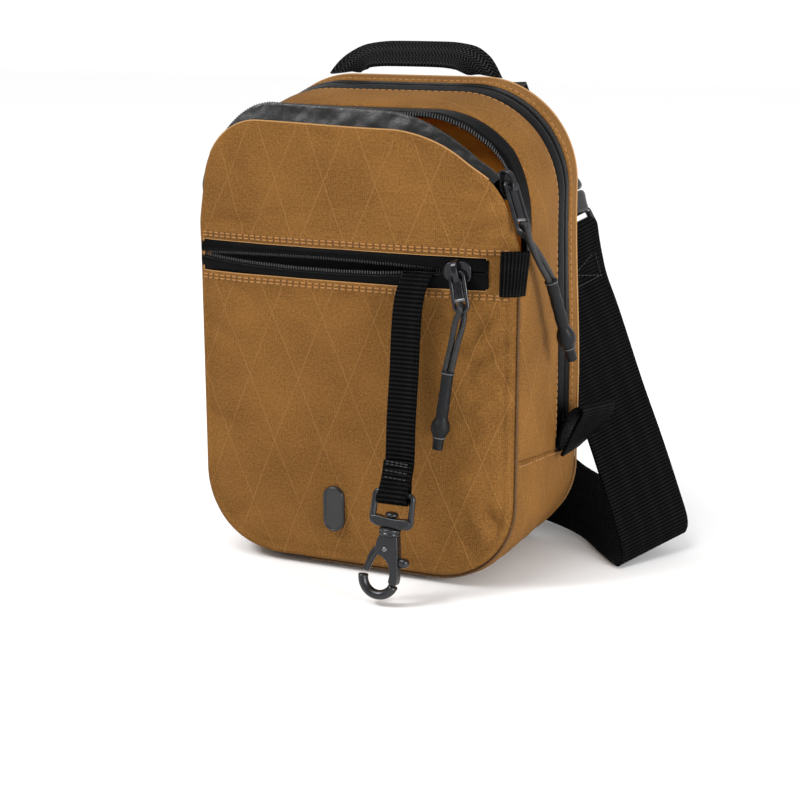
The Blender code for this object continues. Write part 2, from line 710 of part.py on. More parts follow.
def make_handle():
    half = HANDLE_WIDE / 2
    middle = -4.0
    right = [((31.5, 37.3, 199.6), (0.97, 0.05, -0.12)), ((30.6, 38.0, 203.0), (0.83, 0.40, -0.03)),
             ((27.0, 39.3, 205.5), (0.43, 0.79, 0.32)), ((20.0, 40.0, 206.7), (0.08, 0.88, 0.47)),
             ((10.0, 40.4, 207.2), (0.0, 0.88, 0.48))]
    left = [((2 * middle - x, y, z), (-u, v, w)) for (x, y, z), (u, v, w) in reversed(right)]
    stations = [(centre, Vector(way) * half) for centre, way in right + left]
    ribbon("grab_handle", stations, 1.6, (BLACK, 0.8), 4, (middle, 37.3, 199.6))


def make_side_loops():
    pocket_loop = [(72.4, -34.9), (71.0, -37.6), (68.8, -39.6), (66.2, -40.8), (64.9, -41.2), (64.7, -42.2),
                   (65.8, -43.0), (68.4, -42.4), (71.2, -40.4), (73.6, -37.2)]
    stations = [((x, y, 129.8), (0, 0, 8.6)) for x, y in pocket_loop]
    ribbon("side_loop", stations, 1.2, (BLACK, 0.8))
    corner = [(73.3, 47.6), (73.2, 54.0), (75.6, 60.6), (81.0, 65.6), (85.6, 66.4), (87.0, 62.6),
              (83.4, 54.6), (78.4, 48.8), (75.2, 45.8)]
    stations = [((x, 17.5, z), (0, 10.0, 0)) for x, z in corner]
    ribbon("corner_loop", stations, 1.4, (BLACK, 0.8))


def make_badge():
    x = -6.9
    z = 27.5
    slope = (panel_surface(x, z + 1) - panel_surface(x, z - 1)) / 2
    outward = Vector((0, -1, slope)).normalized()
    origin = Vector((x, panel_surface(x, z), z)) + outward * (SHELL + 1.1 * GAP)
    radius = 4.6
    reach = 5.0
    outline = []
    for end in (1, -1):
        for step in range(9):
            angle = math.pi * step / 8 + (0 if end > 0 else math.pi)
            outline.append((end * reach + radius * math.sin(angle), -radius * math.cos(angle)))
    badge = place("badge", plate_bm(outline, 0, 1.6), (BLACK, 0.4), frame_at(origin, (0, 0, 1), outward))
    bevel(badge, 0.4, 1)


# Key leash


def swivel_frame():
    """Local X runs down the hook, local Y to its side and local Z towards the viewer in front."""
    return frame_at(SWIVEL_TOP, SWIVEL_WAY, (0, -1, 0))


def make_leash():
    half = Vector((LEASH_WIDE / 2, 0, 0))
    frame = swivel_frame()
    turn = [(-14.0, -2.1), (-7.0, -2.2), (-2.2, -2.9), (1.2, -2.6), (2.3, 0.0), (1.2, 2.6), (-2.2, 2.9),
            (-7.0, 1.5), (-14.0, 0.6)]
    around = [frame @ Vector((u, 0, n)) for u, n in turn]
    hang = [LEASH_PIVOT, Vector((30.0, -44.0, 126.0)), Vector((28.4, -46.2, 119.0)), Vector((27.9, -48.2, 108.0)),
            Vector((28.2, -51.0, 90.0)), Vector((28.5, -54.6, 72.0))]
    stations = [(centre, half) for centre in hang + around]
    ribbon("leash_webbing", stations, 1.2, (BLACK, 0.8), 2, LEASH_PIVOT)
    inner = [Vector((31.0, -40.2, 128.9)), Vector((31.0, -36.4, 128.9)), Vector((31.0, -31.8, 125.6)),
             Vector((31.0, -29.6, 112.0)), Vector((31.0, -28.7, 92.0))]
    ribbon("leash_anchor", [(centre, half) for centre in inner], 1.2, (BLACK, 0.8))
    gunmetal = (GUNMETAL, 0.35, 1.0)
    outline = [(-1.4, -8.0), (0.6, -8.4), (5.0, -7.8), (11.2, -6.6), (12.2, -5.6), (12.2, 5.6), (11.2, 6.6),
               (5.0, 7.8), (0.6, 8.4), (-1.4, 8.0)]
    swivel = place("leash_swivel", plate_bm(outline, -1.4, 1.4), gunmetal, frame)
    window = box("swivel_window_cutter", (0.9, -6.4, -4), (8.4, 6.4, 4), None, frame)
    combine(swivel, window, "DIFFERENCE")
    hole_bm = turned_bm([(0, 5), (2.0, 5), (2.0, 15), (0, 15)], 16)
    bmesh.ops.transform(hole_bm, verts=hole_bm.verts, matrix=Matrix.Rotation(math.pi / 2, 4, "Y"))
    hole = place("swivel_hole_cutter", hole_bm, None, frame)
    combine(swivel, hole, "DIFFERENCE")
    make_hook(frame, gunmetal)


def arc_points(centre, radius, start, stop, steps):
    """Points of an arc in (along, across), with angles in degrees measured from along towards across."""
    points = []
    for step in range(steps + 1):
        angle = math.radians(mix(start, stop, step / steps))
        points.append((centre[0] + radius * math.cos(angle), centre[1] + radius * math.sin(angle)))
    return points


def make_hook(frame, gunmetal):
    """The snap hook: a C-shaped body on a swivel stud, and a gate with a thumb lever on a pin."""
    outer = [(15.0, -4.0), (15.0, 4.0), (18.0, 5.2), (24.0, 5.4), (31.0, 6.0)]
    outer += arc_points((33.0, -2.2), 8.4, 75, -95, 10)
    inner = [(31.6, -10.4), (31.6, -7.4)]
    inner += arc_points((33.0, -2.2), 5.0, -85, 70, 8)
    inner += [(27.6, 2.4), (25.2, 0.8), (23.6, -1.6), (22.6, -6.6), (18.0, -5.6)]
    body = place("hook_body", plate_bm(outer + inner, -2.3, 2.3), gunmetal, frame)
    stud_bm = turned_bm([(0, 6.6), (2.7, 6.6), (2.7, 8.0), (1.5, 8.0), (1.5, 12.7), (4.2, 12.7), (4.2, 15.6),
                         (0, 15.6)], 16)
    bmesh.ops.transform(stud_bm, verts=stud_bm.verts, matrix=Matrix.Rotation(math.pi / 2, 4, "Y"))
    combine(body, place("hook_stud_tool", stud_bm, None, frame), "UNION")
    slot = box("hook_slot_cutter", (17.4, -12, -1.25), (28.2, 12, 1.25), None, frame)
    combine(body, slot, "DIFFERENCE")
    pin_frame = frame @ Matrix.Translation((*HOOK_PIN, 0))
    pin_hole = place("hook_pin_cutter", turned_bm([(0, -5), (0.85, -5), (0.85, 5), (0, 5)], 12), None, pin_frame)
    combine(body, pin_hole, "DIFFERENCE")
    place("gate_pin", turned_bm([(0, -2.3), (0.5, -2.3), (0.5, 2.3), (0, 2.3)], 12), gunmetal, pin_frame)
    gate = [(3.2, 8.6), (5.0, 9.4), (5.9, 8.6), (5.4, 6.6)]
    gate += [(3.0, 1.6), (2.6, -1.4), (3.6, -4.6), (10.2, -6.4), (8.5, -8.7), (2.4, -8.4), (-0.6, -6.2)]
    gate += [(-2.4, -0.6), (-1.6, 1.9), (1.4, 4.4)]
    lever = place("hook_gate", plate_bm(gate, -0.9, 0.9), gunmetal, pin_frame)
    gate_hole = place("gate_hole_cutter", turned_bm([(0, -5), (0.85, -5), (0.85, 5), (0, 5)], 12), None, pin_frame)
    combine(lever, gate_hole, "DIFFERENCE")
    box("gate_spring", (17.7, -3.0, -0.8), (18.1, 2.2, 0.8), gunmetal, frame)


# Shoulder strap


def buckle_frame():
    """Local X runs down the buckle, local Y across it and local Z out of its face."""
    face = BUCKLE_WAY.cross(BUCKLE_SIDE)
    return frame_at(BUCKLE_LOW, BUCKLE_WAY, face)


def make_buckle():
    plastic = (BLACK, 0.3)
    frame = buckle_frame()
    half = BUCKLE_WIDE / 2
    slot = STRAP_WIDE / 2 + 0.7
    female = box("buckle_female", (-38, -half, -4.6), (-18, half, 4.6), plastic, frame)
    bevel(female, 1.8, 2)
    bar = box("buckle_female_bar_tool", (-46.5, -half, -1.6), (-36, half, 1.6), None, frame)
    combine(female, bar, "UNION")
    cutters = [((-36, -19.6, -2.6), (-10, 19.6, 2.6)), ((-34, -30, -2.4), (-23, 30, 2.4)),
               ((-43.5, -slot, -6), (-38.7, slot, 6))]
    for number, (low, high) in enumerate(cutters):
        combine(female, box("buckle_female_cutter_%d" % number, low, high, None, frame), "DIFFERENCE")
    male = box("buckle_male", (-17.4, -half + 1, -4.2), (-8.4, half - 1, 4.2), plastic, frame)
    bevel(male, 1.6, 2)
    tools = [((-10, -half + 1, -1.6), (0, half - 1, 1.6)), ((-33, 14.0, -1.9), (-16, 18.6, 1.9)),
             ((-33, -18.6, -1.9), (-16, -14.0, 1.9)), ((-31, -2.2, -1.9), (-16, 2.2, 1.9))]
    for number, (low, high) in enumerate(tools):
        combine(male, box("buckle_male_tool_%d" % number, low, high, None, frame), "UNION")
    combine(male, box("buckle_male_cutter", (-8.1, -slot, -6), (-3.0, slot, 6), None, frame), "DIFFERENCE")


def turn_points(centre, radius):
    """A half circle round a bar, on the side of larger first coordinates, as (along, out) pairs."""
    return [(centre + radius * math.sin(angle), -radius * math.cos(angle))
            for angle in (math.pi * step / 4 for step in range(5))]


def make_strap_anchor():
    frame = buckle_frame()
    side = BUCKLE_SIDE.normalized() * STRAP_WIDE / 2
    sewn = Vector((STRAP_WIDE / 2, 0, -1.0))
    around = [(-54.0, -1.2), (-49.5, -2.4), *turn_points(-45.0, BAR_TURN), (-49.5, 1.7), (-56.0, 0.6)]
    folded = [(frame @ Vector((u, 0, n)), side) for u, n in around]
    start = [(Vector((24.0, 38.6, 183.6)), sewn), (Vector((24.0, 38.8, 189.0)), sewn),
             (Vector((24.0, 42.4, 193.6)), sewn), (Vector((24.6, 49.5, 193.4)), mix(sewn, side, 0.35)),
             (Vector((26.2, 57.0, 186.0)), mix(sewn, side, 0.8))]
    ribbon("strap_anchor", start + folded, STRAP_THICK, (BLACK, 0.8), 3)


def make_strap():
    frame = buckle_frame()
    side = BUCKLE_SIDE.normalized() * STRAP_WIDE / 2
    stitched = Vector((0.37, -0.27, -0.9)).normalized()
    face = stitched.cross(side).normalized()
    bar = frame @ Vector((-1.5, 0, 0))
    stations = [(bar + stitched * u + face * n, side) for u, n in [(24.0, -1.2), (14.0, -1.3), (6.5, -2.4)]]
    stations += [(frame @ Vector((-1.5 - u, 0, n)), side) for u, n in turn_points(0.0, BAR_TURN)]
    stations += [(bar + stitched * u + face * n, side) for u, n in [(6.5, 2.4), (14.0, 1.3)]]
    stations += [
        ((63.7, 58.0, 106.4), (9.2, 15.9, 4.6)), ((70.2, 56.1, 91.8), (9.3, 15.9, 4.5)),
        ((82.4, 53.1, 61.7), (9.3, 15.9, 4.5)), ((92.9, 45.6, 41.8), (9.5, 15.9, 4.3)),
        ((103.1, 37.1, 22.4), (9.6, 15.9, 4.0)), ((110.2, 29.0, 9.3), (9.8, 15.9, 3.4)),
        ((109.8, 24.6, 5.0), (9.6, 16.0, 3.4)), ((104.4, 28.0, 5.6), (8.0, 16.3, 4.2)),
        ((90.0, 39.0, 9.8), (2.6, 16.4, 8.6)), ((70.0, 56.0, 11.8), (-2.6, 15.6, 10.4)),
        ((50.0, 66.0, 16.4), (-1.5, 11.0, 15.2)), ((20.0, 71.5, 19.8), (0.0, 3.0, 18.6))]
    upright = Vector((0, 0, STRAP_WIDE / 2))
    folds = [(-30.0, 72.0, LAID_Z), (-56.0, 70.0, LAID_Z), (-60.4, 67.0, LAID_Z), (-56.0, 64.0, LAID_Z),
             (-20.0, 62.8, LAID_Z), (24.0, 61.4, LAID_Z), (27.8, 58.9, LAID_Z), (24.0, 56.4, LAID_Z),
             (8.0, 56.2, 21.4), (-10.0, 56.0, HARDWARE_Z), (-30.0, 55.0, HARDWARE_Z), (-46.0, 53.8, HARDWARE_Z)]
    folds += [(-54.4 - u, 50.0 - n, HARDWARE_Z) for u, n in turn_points(0.0, BAR_TURN)]
    sewn = [(-42.0, 46.8), (-25.0, 46.9), (-14.0, 46.9), (-8.0, 47.6), (-3.8, 49.0), (-1.9, 51.2), (-3.2, 53.0),
            (-6.0, 53.4), (-8.8, 53.0), (-10.4, 51.2), (-12.0, 49.6), (-17.0, 48.8), (-30.0, 48.7)]
    folds += [(x, y, HARDWARE_Z) for x, y in sewn]
    stations += [(centre, upright) for centre in folds]
    ribbon("strap_webbing", stations, STRAP_THICK, (BLACK, 0.8), 4)
    make_lower_hardware()


def make_lower_hardware():
    plastic = (BLACK, 0.3)
    ring_frame = frame_at((-55.0, 50.0, HARDWARE_Z), (1, 0, 0), (0, 1, 0))
    ring = box("lower_ring", (-12.6, -22.5, -1.5), (2.0, 22.5, 1.5), plastic, ring_frame)
    bevel(ring, 0.8, 1)
    window = box("lower_ring_cutter", (-9.2, -19.8, -5), (-0.8, 19.8, 5), None, ring_frame)
    combine(ring, window, "DIFFERENCE")
    up = Vector((0, 0, 17.0))
    tab = [(-58.6, 38.6), (-63.0, 39.4), (-67.6, 42.6), (-69.8, 46.6), (-69.6, 51.0), (-67.4, 53.4), (-64.2, 53.2),
           (-62.4, 50.2), (-62.2, 46.6), (-60.8, 43.6), (-58.8, 42.2)]
    ribbon("lower_anchor", [((x, y, HARDWARE_Z), up) for x, y in tab], STRAP_THICK, (BLACK, 0.8), 2)
    glide_frame = frame_at((-6.0, 51.2, HARDWARE_Z), (1, 0, 0), (0, 1, 0))
    glide = box("triglide", (-11.0, -22.5, -0.6), (11.0, 22.5, 0.6), plastic, glide_frame)
    for number, side in enumerate((-1, 1)):
        low = min(side * 2.2, side * 8.4)
        cutter = box("triglide_cutter_%d" % number, (low, -19.8, -4), (low + 6.2, 19.8, 4), None, glide_frame)
        combine(glide, cutter, "DIFFERENCE")


clear_scene()
make_shell()
make_main_zip()
make_front_zip()
make_pocket_zip()
make_sliders()
make_handle()
make_side_loops()
make_badge()
make_leash()
make_buckle()
make_strap_anchor()
make_strap()
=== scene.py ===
"""Looks of the sling bag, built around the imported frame.

Lengths are in millimetres until a mesh is written. X is to the right, Y to the back, Z up, as in the frame.
The bag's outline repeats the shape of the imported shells, with its driving sizes read from their boxes.
"""
import math

import bmesh
import bpy
from mathutils import Matrix, Vector, noise


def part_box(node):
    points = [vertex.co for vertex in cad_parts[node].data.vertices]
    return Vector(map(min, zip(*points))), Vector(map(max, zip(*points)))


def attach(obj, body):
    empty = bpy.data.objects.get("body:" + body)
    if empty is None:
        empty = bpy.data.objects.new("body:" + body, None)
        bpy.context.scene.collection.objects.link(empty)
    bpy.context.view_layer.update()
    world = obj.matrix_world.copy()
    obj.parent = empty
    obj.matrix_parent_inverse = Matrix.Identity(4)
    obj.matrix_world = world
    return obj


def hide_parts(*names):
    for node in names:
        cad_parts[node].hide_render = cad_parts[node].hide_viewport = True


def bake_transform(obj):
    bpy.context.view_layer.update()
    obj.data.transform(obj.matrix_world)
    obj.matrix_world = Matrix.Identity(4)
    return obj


MM = 0.001
UP = Vector((0, 0, 1))

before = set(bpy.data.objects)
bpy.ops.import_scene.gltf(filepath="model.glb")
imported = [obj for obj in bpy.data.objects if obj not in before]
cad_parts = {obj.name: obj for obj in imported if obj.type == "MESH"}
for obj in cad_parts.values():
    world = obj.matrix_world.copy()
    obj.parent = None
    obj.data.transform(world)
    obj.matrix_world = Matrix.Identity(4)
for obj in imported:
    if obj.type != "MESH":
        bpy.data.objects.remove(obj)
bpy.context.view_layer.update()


def corners(node):
    """Lowest and highest corner of a CAD node, in millimetres."""
    low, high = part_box(node)
    return low / MM, high / MM


# Sizes of the shell and its zips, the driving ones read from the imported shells

PANEL_INSET = 0.4
PLATE_INSET = 0.5
SHELL = 1.5
FRONT_Y = -35.0
REAR_Y = corners("back_panel")[0].y
FRONT_HALF = corners("front_panel")[1].x + PANEL_INSET
FRONT_TOP = corners("front_flap")[1].z + PANEL_INSET
REAR_HALF = corners("back_panel")[1].x + PLATE_INSET
REAR_TOP = corners("back_panel")[1].z + PLATE_INSET
SEAM_FRONT_Z = 54.5
SEAM_REAR_Z = 44.5
SHOULDER_Z = corners("rim_zip_tape")[0].z
FOOT_RADIUS = 34.0
FRONT_FOOT_RISE = 2.5
REAR_FOOT_RISE = 1.5
FOOT_ROLL = 7.0
REAR_RADIUS = 42.0
FRONT_RADIUS_RIGHT = 54.0
FRONT_RADIUS_LEFT = 26.0
CORNER_RUN = 18.0
PANEL_BULGE = 4.5
PANEL_MID_Z = 90.0
PANEL_REACH_Z = 97.0
WINDOW = (-66.3, 57.0, 122.0, 135.0)
FOLD_LEFT = Vector((-69.0, -40.8, 141.0))
FOLD_RIGHT = Vector((58.0, -40.8, 161.0))
FOLD_COSINE = 0.988
ZIP_FRONT = 11.6
ZIP_REAR = 25.4
ZIP_MID = 18.5
ZIP_END_Z = 95.0
POCKET_ZIP_Z = 129.3
GAPE_UP = 1.0
GAPE_DOWN = 2.7
ZIP_HALF_GAP = 1.2
CLOTH_THICK = 1.15
FRONT_EDGE_Y = FRONT_Y + 0.3
REAR_EDGE_Y = REAR_Y - 0.6
ZIP_EDGE = 0.3
DIVIDER_Y = -4.4
LINING_THICK = 0.4
SEAM_ROLL = 2.6
ZIP_ROLL = 1.2
POUCH = (-8.5, -30.6, 58.5, 2.9)
POUCH_LEVELS = (63.0, 121.6, 136.0)


# Small tools


def ramp(value, start, stop):
    return min(1.0, max(0.0, (value - start) / (stop - start)))


def ease(value, start, stop):
    share = ramp(value, start, stop)
    return share * share * (3 - 2 * share)


def mix(first, second, share):
    return first + (second - first) * share


def wave(x, y, z, size):
    """Smooth noise from -1 to 1 whose lumps are about as large as size."""
    return noise.noise(Vector((x, y, z)) / size)


def frame_at(origin, along, outward):
    """A frame whose X runs along a direction and whose Z points outward."""
    x_axis = Vector(along).normalized()
    z_axis = Vector(outward) - Vector(outward).dot(x_axis) * x_axis
    z_axis.normalize()
    y_axis = z_axis.cross(x_axis)
    turn = Matrix((x_axis, y_axis, z_axis)).transposed().to_4x4()
    return Matrix.Translation(Vector(origin)) @ turn


def spline(points, steps):
    """A Catmull-Rom curve through points of any length, as a list of tuples."""
    ends = [points[0]] + list(points) + [points[-1]]
    curve = []
    for index in range(1, len(ends) - 2):
        before, start, stop, after = ends[index - 1:index + 3]
        for step in range(steps):
            t = step / steps
            curve.append(tuple(
                0.5 * (2 * b + (c - a) * t + (2 * a - 5 * b + 4 * c - d) * t ** 2
                       + (3 * b - a - 3 * c + d) * t ** 3)
                for a, b, c, d in zip(before, start, stop, after)))
    curve.append(tuple(points[-1]))
    return curve


def even_path(points, pitch):
    """Points a fixed distance apart along a polyline of vectors."""
    result = [Vector(points[0])]
    left = pitch
    for start, stop in zip(points, points[1:]):
        start = Vector(start)
        run = Vector(stop) - start
        length = run.length
        while length > 0 and left <= length:
            result.append(start + run * (left / length))
            left += pitch
        left -= length
    return result


def finish_mesh(name, mesh_bm, look, lays=None, body=None, slot=None, replaces=(), smooth=180.0):
    """Write a bmesh in millimetres as a piece with the look of that name, ridden on a body."""
    mesh = bpy.data.meshes.new(name)
    bmesh.ops.scale(mesh_bm, verts=mesh_bm.verts, vec=(MM, MM, MM))
    mesh_bm.to_mesh(mesh)
    mesh_bm.free()
    mesh.shade_smooth()
    if smooth < 180:
        mesh.set_sharp_from_angle(angle=math.radians(smooth))
    if lays is not None:
        attribute = mesh.attributes.new("lay", "FLOAT_VECTOR", "POINT")
        attribute.data.foreach_set("vector", [c for lay in lays for c in lay])
    piece = bpy.data.objects.new(name, mesh)
    bpy.context.scene.collection.objects.link(piece)
    mesh.materials.append(LOOKS[look])
    if replaces:
        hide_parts(*replaces)
    if body:
        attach(piece, body)
    return piece


def sheet(name, rows, look, lays=None, drop=None, **facts):
    """A grid of points as a sheet of quads. drop(row, column) leaves a face out."""
    mesh_bm = bmesh.new()
    grid = [[mesh_bm.verts.new(point) for point in row] for row in rows]
    for index, (near, far) in enumerate(zip(grid, grid[1:])):
        for column in range(len(near) - 1):
            if drop is None or not drop(index, column):
                mesh_bm.faces.new((near[column], near[column + 1], far[column + 1], far[column]))
    flat = None if lays is None else [lay for row in lays for lay in row]
    if drop is not None:
        keep = [vert.link_faces[:] != [] for row in grid for vert in row]
        loose = [vert for vert in mesh_bm.verts if not vert.link_faces]
        bmesh.ops.delete(mesh_bm, geom=loose, context="VERTS")
        if flat is not None:
            flat = [lay for lay, kept in zip(flat, keep) if kept]
    return finish_mesh(name, mesh_bm, look, flat, **facts)


def skin(name, rings, look, closed=False, smooth=180.0, **facts):
    """Rings of points joined into one body, with flat ends unless the rings close."""
    return skins(name, [rings], look, closed, smooth, **facts)


def skins(name, bodies, look, closed=False, smooth=180.0, **facts):
    """Several ringed bodies in one mesh."""
    mesh_bm = bmesh.new()
    for body_rings in bodies:
        rings = [[mesh_bm.verts.new(point) for point in ring] for ring in body_rings]
        pairs = list(zip(rings, rings[1:]))
        if closed:
            pairs.append((rings[-1], rings[0]))
        for near, far in pairs:
            for step in range(len(near)):
                after = (step + 1) % len(near)
                mesh_bm.faces.new((near[step], near[after], far[after], far[step]))
        if not closed:
            mesh_bm.faces.new(list(reversed(rings[0])))
            mesh_bm.faces.new(rings[-1])
    bmesh.ops.recalc_face_normals(mesh_bm, faces=mesh_bm.faces)
    return finish_mesh(name, mesh_bm, look, smooth=smooth, **facts)


def around(steps):
    """Cosine and sine of evenly spaced angles of a full turn."""
    for step in range(steps):
        angle = math.tau * step / steps
        yield math.cos(angle), math.sin(angle)


def quarter_arcs(centres, radius, steps):
    """Quarter circles round four corner centres, as one closed run of (u, v) points."""
    points = []
    for (u, v), start in zip(centres, (90, 180, 270, 0)):
        for step in range(steps + 1):
            angle = math.radians(start + 90 * step / steps)
            points.append((u + radius * math.cos(angle), v + radius * math.sin(angle)))
    return points


def eased_steps(start, stop, count):
    """Numbers from start to stop that crowd towards both ends."""
    return [mix(start, stop, 0.5 - 0.5 * math.cos(math.pi * step / count)) for step in range(count + 1)]


def even_steps(start, stop, count):
    return [mix(start, stop, step / count) for step in range(count + 1)]


def frame_points(seat, points):
    return [seat @ Vector(point) for point in points]


def frame_out(seat):
    """The outward axis of a frame."""
    return seat.to_3x3() @ UP


def thicken(piece, thickness, offset=-1.0):
    modifier = piece.modifiers.new("thickness", "SOLIDIFY")
    modifier.thickness = thickness * MM
    modifier.offset = offset
    modifier.use_rim = True
    return piece


def subdivide(piece, levels=1):
    modifier = piece.modifiers.new("smooth", "SUBSURF")
    modifier.levels = levels
    modifier.render_levels = levels
    return piece


def round_edges(piece, width, segments=2, angle=30.0):
    modifier = piece.modifiers.new("edges", "BEVEL")
    modifier.width = width * MM
    modifier.segments = segments
    modifier.limit_method = "ANGLE"
    modifier.angle_limit = math.radians(angle)
    return piece


def freeze(piece):
    """Make a piece's modifiers part of its mesh, as a blend needs."""
    bpy.context.view_layer.update()
    evaluated = piece.evaluated_get(bpy.context.evaluated_depsgraph_get())
    solid = bpy.data.meshes.new_from_object(evaluated)
    piece.modifiers.clear()
    piece.data = solid


# Materials


class Graph:
    """A material's node graph, with short calls for the nodes it needs."""

    def __init__(self, name, roughness=0.5, metallic=0.0):
        self.material = bpy.data.materials.new(name)
        self.material.use_nodes = True
        self.nodes = self.material.node_tree.nodes
        self.links = self.material.node_tree.links
        self.shader = self.nodes["Principled BSDF"]
        self.shader.inputs["Roughness"].default_value = roughness
        self.shader.inputs["Metallic"].default_value = metallic

    def set(self, socket, value):
        self.shader.inputs[socket].default_value = value
        return self

    def node(self, kind, inputs=(), **properties):
        made = self.nodes.new(kind)
        for key, value in properties.items():
            setattr(made, key, value)
        for socket, value in inputs:
            self.put(made.inputs[socket], value)
        return made

    def put(self, socket, value):
        if isinstance(value, bpy.types.NodeSocket):
            self.links.new(value, socket)
        else:
            socket.default_value = value

    def math(self, operation, first, second=0.0, third=0.0):
        made = self.node("ShaderNodeMath", operation=operation)
        for socket, value in zip(made.inputs, (first, second, third)):
            self.put(socket, value)
        return made.outputs[0]

    def span(self, value, low, high, to_low=0.0, to_high=1.0):
        """value mapped from one range to another, clamped and eased."""
        made = self.node("ShaderNodeMapRange", interpolation_type="SMOOTHSTEP")
        for socket, number in zip(made.inputs, (value, low, high, to_low, to_high)):
            self.put(socket, number)
        return made.outputs[0]

    def noise(self, vector, scale, detail=3.0, roughness=0.5):
        made = self.node("ShaderNodeTexNoise", [("Scale", scale), ("Detail", detail),
                                                ("Roughness", roughness)])
        self.put(made.inputs["Vector"], vector)
        return made.outputs["Fac"]

    def colour(self, share, low, high):
        made = self.node("ShaderNodeMix", data_type="RGBA")
        self.put(made.inputs[0], share)
        self.put(made.inputs[6], (*low, 1.0) if isinstance(low, tuple) else low)
        self.put(made.inputs[7], (*high, 1.0) if isinstance(high, tuple) else high)
        return made.outputs[2]

    def lay(self):
        """The cloth's own flat coordinates in millimetres, as (vector, across, along)."""
        vector = self.node("ShaderNodeAttribute", attribute_name="lay").outputs["Vector"]
        split = self.node("ShaderNodeSeparateXYZ", [(0, vector)])
        return vector, split.outputs[0], split.outputs[1]

    def place(self):
        """Object coordinates in millimetres."""
        vector = self.node("ShaderNodeTexCoord").outputs["Object"]
        scaled = self.node("ShaderNodeVectorMath", operation="SCALE")
        self.put(scaled.inputs[0], vector)
        scaled.inputs["Scale"].default_value = 1 / MM
        return scaled.outputs[0]

    def ribs(self, value, pitch, sharp=1.0):
        """A rounded ridge from 0 to 1 every pitch millimetres."""
        turned = self.math("MULTIPLY", value, math.tau / pitch)
        height = self.math("MULTIPLY_ADD", self.math("SINE", turned), 0.5, 0.5)
        return height if sharp == 1.0 else self.math("POWER", height, sharp)

    def end(self, colour, height, depth, roughness=None):
        """Join the colour, a bump of that depth in millimetres and the roughness to the shader."""
        self.put(self.shader.inputs["Base Color"], colour)
        bump = self.node("ShaderNodeBump", [("Strength", 1.0), ("Distance", depth * MM),
                                            ("Height", height)])
        self.links.new(bump.outputs[0], self.shader.inputs["Normal"])
        if roughness is not None:
            self.put(self.shader.inputs["Roughness"], roughness)
        return self.material


DIAMOND_WIDE = 22.5
DIAMOND_SLANT = 0.42
CLOTH_PITCH = 0.8


def pack_cloth(name, base, dark=0.62):
    """Laminated pack cloth: plain weave with a diamond grid of raised threads and faint crinkles."""
    graph = Graph(name, 0.8)
    graph.set("Specular IOR Level", 0.05)
    vector, across, along = graph.lay()
    lines = None
    for slant in (DIAMOND_SLANT, -DIAMOND_SLANT):
        run = graph.math("MULTIPLY_ADD", along, slant, across)
        share = graph.math("FRACT", graph.math("DIVIDE", run, DIAMOND_WIDE))
        away = graph.math("MULTIPLY", graph.math("ABSOLUTE", graph.math("SUBTRACT", share, 0.5)),
                          DIAMOND_WIDE)
        line = graph.span(away, 0.12, 0.48, 1.0, 0.0)
        lines = line if lines is None else graph.math("MAXIMUM", lines, line)
    weave = graph.math("ADD", graph.ribs(across, CLOTH_PITCH), graph.ribs(along, CLOTH_PITCH))
    yarn = graph.noise(vector, 1.1, 3.0, 0.75)
    broad = graph.noise(vector, 0.035, 3.0)
    crinkle = graph.noise(vector, 0.16, 4.0, 0.62)
    mottle = graph.math("MULTIPLY_ADD", yarn, 0.8, graph.math("MULTIPLY", broad, 0.3))
    tone = graph.math("MULTIPLY_ADD", weave, 0.07, mottle)
    deep = tuple(channel * dark for channel in base)
    pale = tuple(min(1.0, channel * 1.4) for channel in base)
    cloth = graph.colour(graph.span(tone, 0.4, 0.84), deep, pale)
    thread = tuple(min(1.0, channel * 1.6 + 0.01) for channel in base)
    colour = graph.colour(graph.math("MULTIPLY", lines, 0.48), cloth, thread)
    height = graph.math("MULTIPLY_ADD", lines, 0.32, graph.math("MULTIPLY_ADD", weave, 0.05,
                        graph.math("MULTIPLY", crinkle, 0.9)))
    rough = graph.span(yarn, 0.2, 0.8, 0.7, 0.85)
    return graph.end(colour, height, 0.55, rough)


def lining_cloth(name, base):
    graph = Graph(name, 0.7)
    vector, across, along = graph.lay()
    weave = graph.math("ADD", graph.ribs(across, 0.7), graph.ribs(along, 0.7))
    broad = graph.noise(vector, 0.06, 4.0)
    tone = graph.math("MULTIPLY_ADD", weave, 0.15, broad)
    deep = tuple(channel * 0.85 for channel in base)
    colour = graph.colour(graph.span(tone, 0.4, 1.0), deep, base)
    height = graph.math("MULTIPLY_ADD", weave, 0.05, graph.math("MULTIPLY", broad, 1.2))
    return graph.end(colour, height, 0.6)


